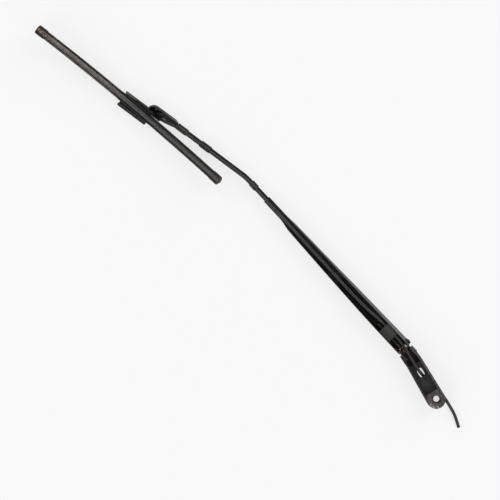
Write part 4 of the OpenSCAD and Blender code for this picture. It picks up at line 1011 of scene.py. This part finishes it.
for piece, finish in NEW_PIECES:
    piece.data.materials.clear()
    piece.data.materials.append(finish)
print("finishes:", len(FINISHES), "on", sum(len(n) for n in FINISHES.values()) + len(NEW_PIECES),
      "pieces")

# %% [markdown]
# ## Floor and light
# The arm lies on a plain pale floor, lit from below in part like a light table, which only
# the camera and reflections see: so its shadows stay faint and the bore shows it bright.
# The light of a white photo tent comes from all round, and little comes from straight above,
# where the camera looks through: flat faces stay dark, and steep ones mirror the pale floor.
# Four large soft lamps at the sides do that, with a dim world.

# %% Floor and lamps
FLOOR_SIZE = 12.0
bm = bmesh.new()
bmesh.ops.create_grid(bm, x_segments=1, y_segments=1, size=FLOOR_SIZE / 2,
                      matrix=Matrix.Translation(VIEW_MIDDLE + Vector((0, 0, FLOOR_Z)) * MM))
floor = new_piece("floor", bm, smooth=False)
paper, tree, shader = blank_material("pale_paper_floor")
FLOOR_HEX = "#fafafa"
FLOOR_GLOW = 0.75
shader.inputs["Base Color"].default_value = colour(FLOOR_HEX)
shader.inputs["Roughness"].default_value = 0.9
glow = node(tree, "ShaderNodeEmission", {"Color": colour(FLOOR_HEX), "Strength": 1.0})
ray = node(tree, "ShaderNodeLightPath")
seen = node(tree, "ShaderNodeMath", {0: ray.outputs["Is Camera Ray"],
                                     1: ray.outputs["Is Glossy Ray"]}, operation="MAXIMUM")
share = node(tree, "ShaderNodeMath", {0: seen.outputs[0], 1: FLOOR_GLOW}, operation="MULTIPLY")
both = node(tree, "ShaderNodeMixShader", {0: share.outputs[0], 1: shader.outputs["BSDF"],
                                          2: glow.outputs["Emission"]})
tree.links.new(both.outputs["Shader"], tree.nodes["Material Output"].inputs["Surface"])
floor.data.materials.append(paper)

LAMPS = {"right": ((0.25, -2.6, 1.9), 1.15), "left": ((0.45, 2.6, 1.9), 1.0),
         "blade_end": ((3.1, 0.2, 1.9), 1.0), "head_end": ((-2.4, 0, 1.9), 1.0)}
LAMP_SIZE = 2.4
LAMP_WATTS = 36
for name, (place, share) in LAMPS.items():
    light = bpy.data.lights.new("lamp_" + name, "AREA")
    light.shape = "SQUARE"
    light.size = LAMP_SIZE
    light.energy = LAMP_WATTS * share
    lamp = bpy.data.objects.new("lamp_" + name, light)
    lamp.location = place
    lamp.rotation_euler = (VIEW_MIDDLE - Vector(place)).to_track_quat("-Z", "Y").to_euler()
    bpy.context.scene.collection.objects.link(lamp)

world = bpy.data.worlds.new("photo_tent")
bpy.context.scene.world = world
world.use_nodes = True
world.node_tree.nodes["Background"].inputs["Color"].default_value = colour("#ffffff")
world.node_tree.nodes["Background"].inputs["Strength"].default_value = 0.25
bpy.context.scene.view_settings.view_transform = "Standard"
print("light:", len(LAMPS), "lamps of", LAMP_SIZE, "m and a dim world")
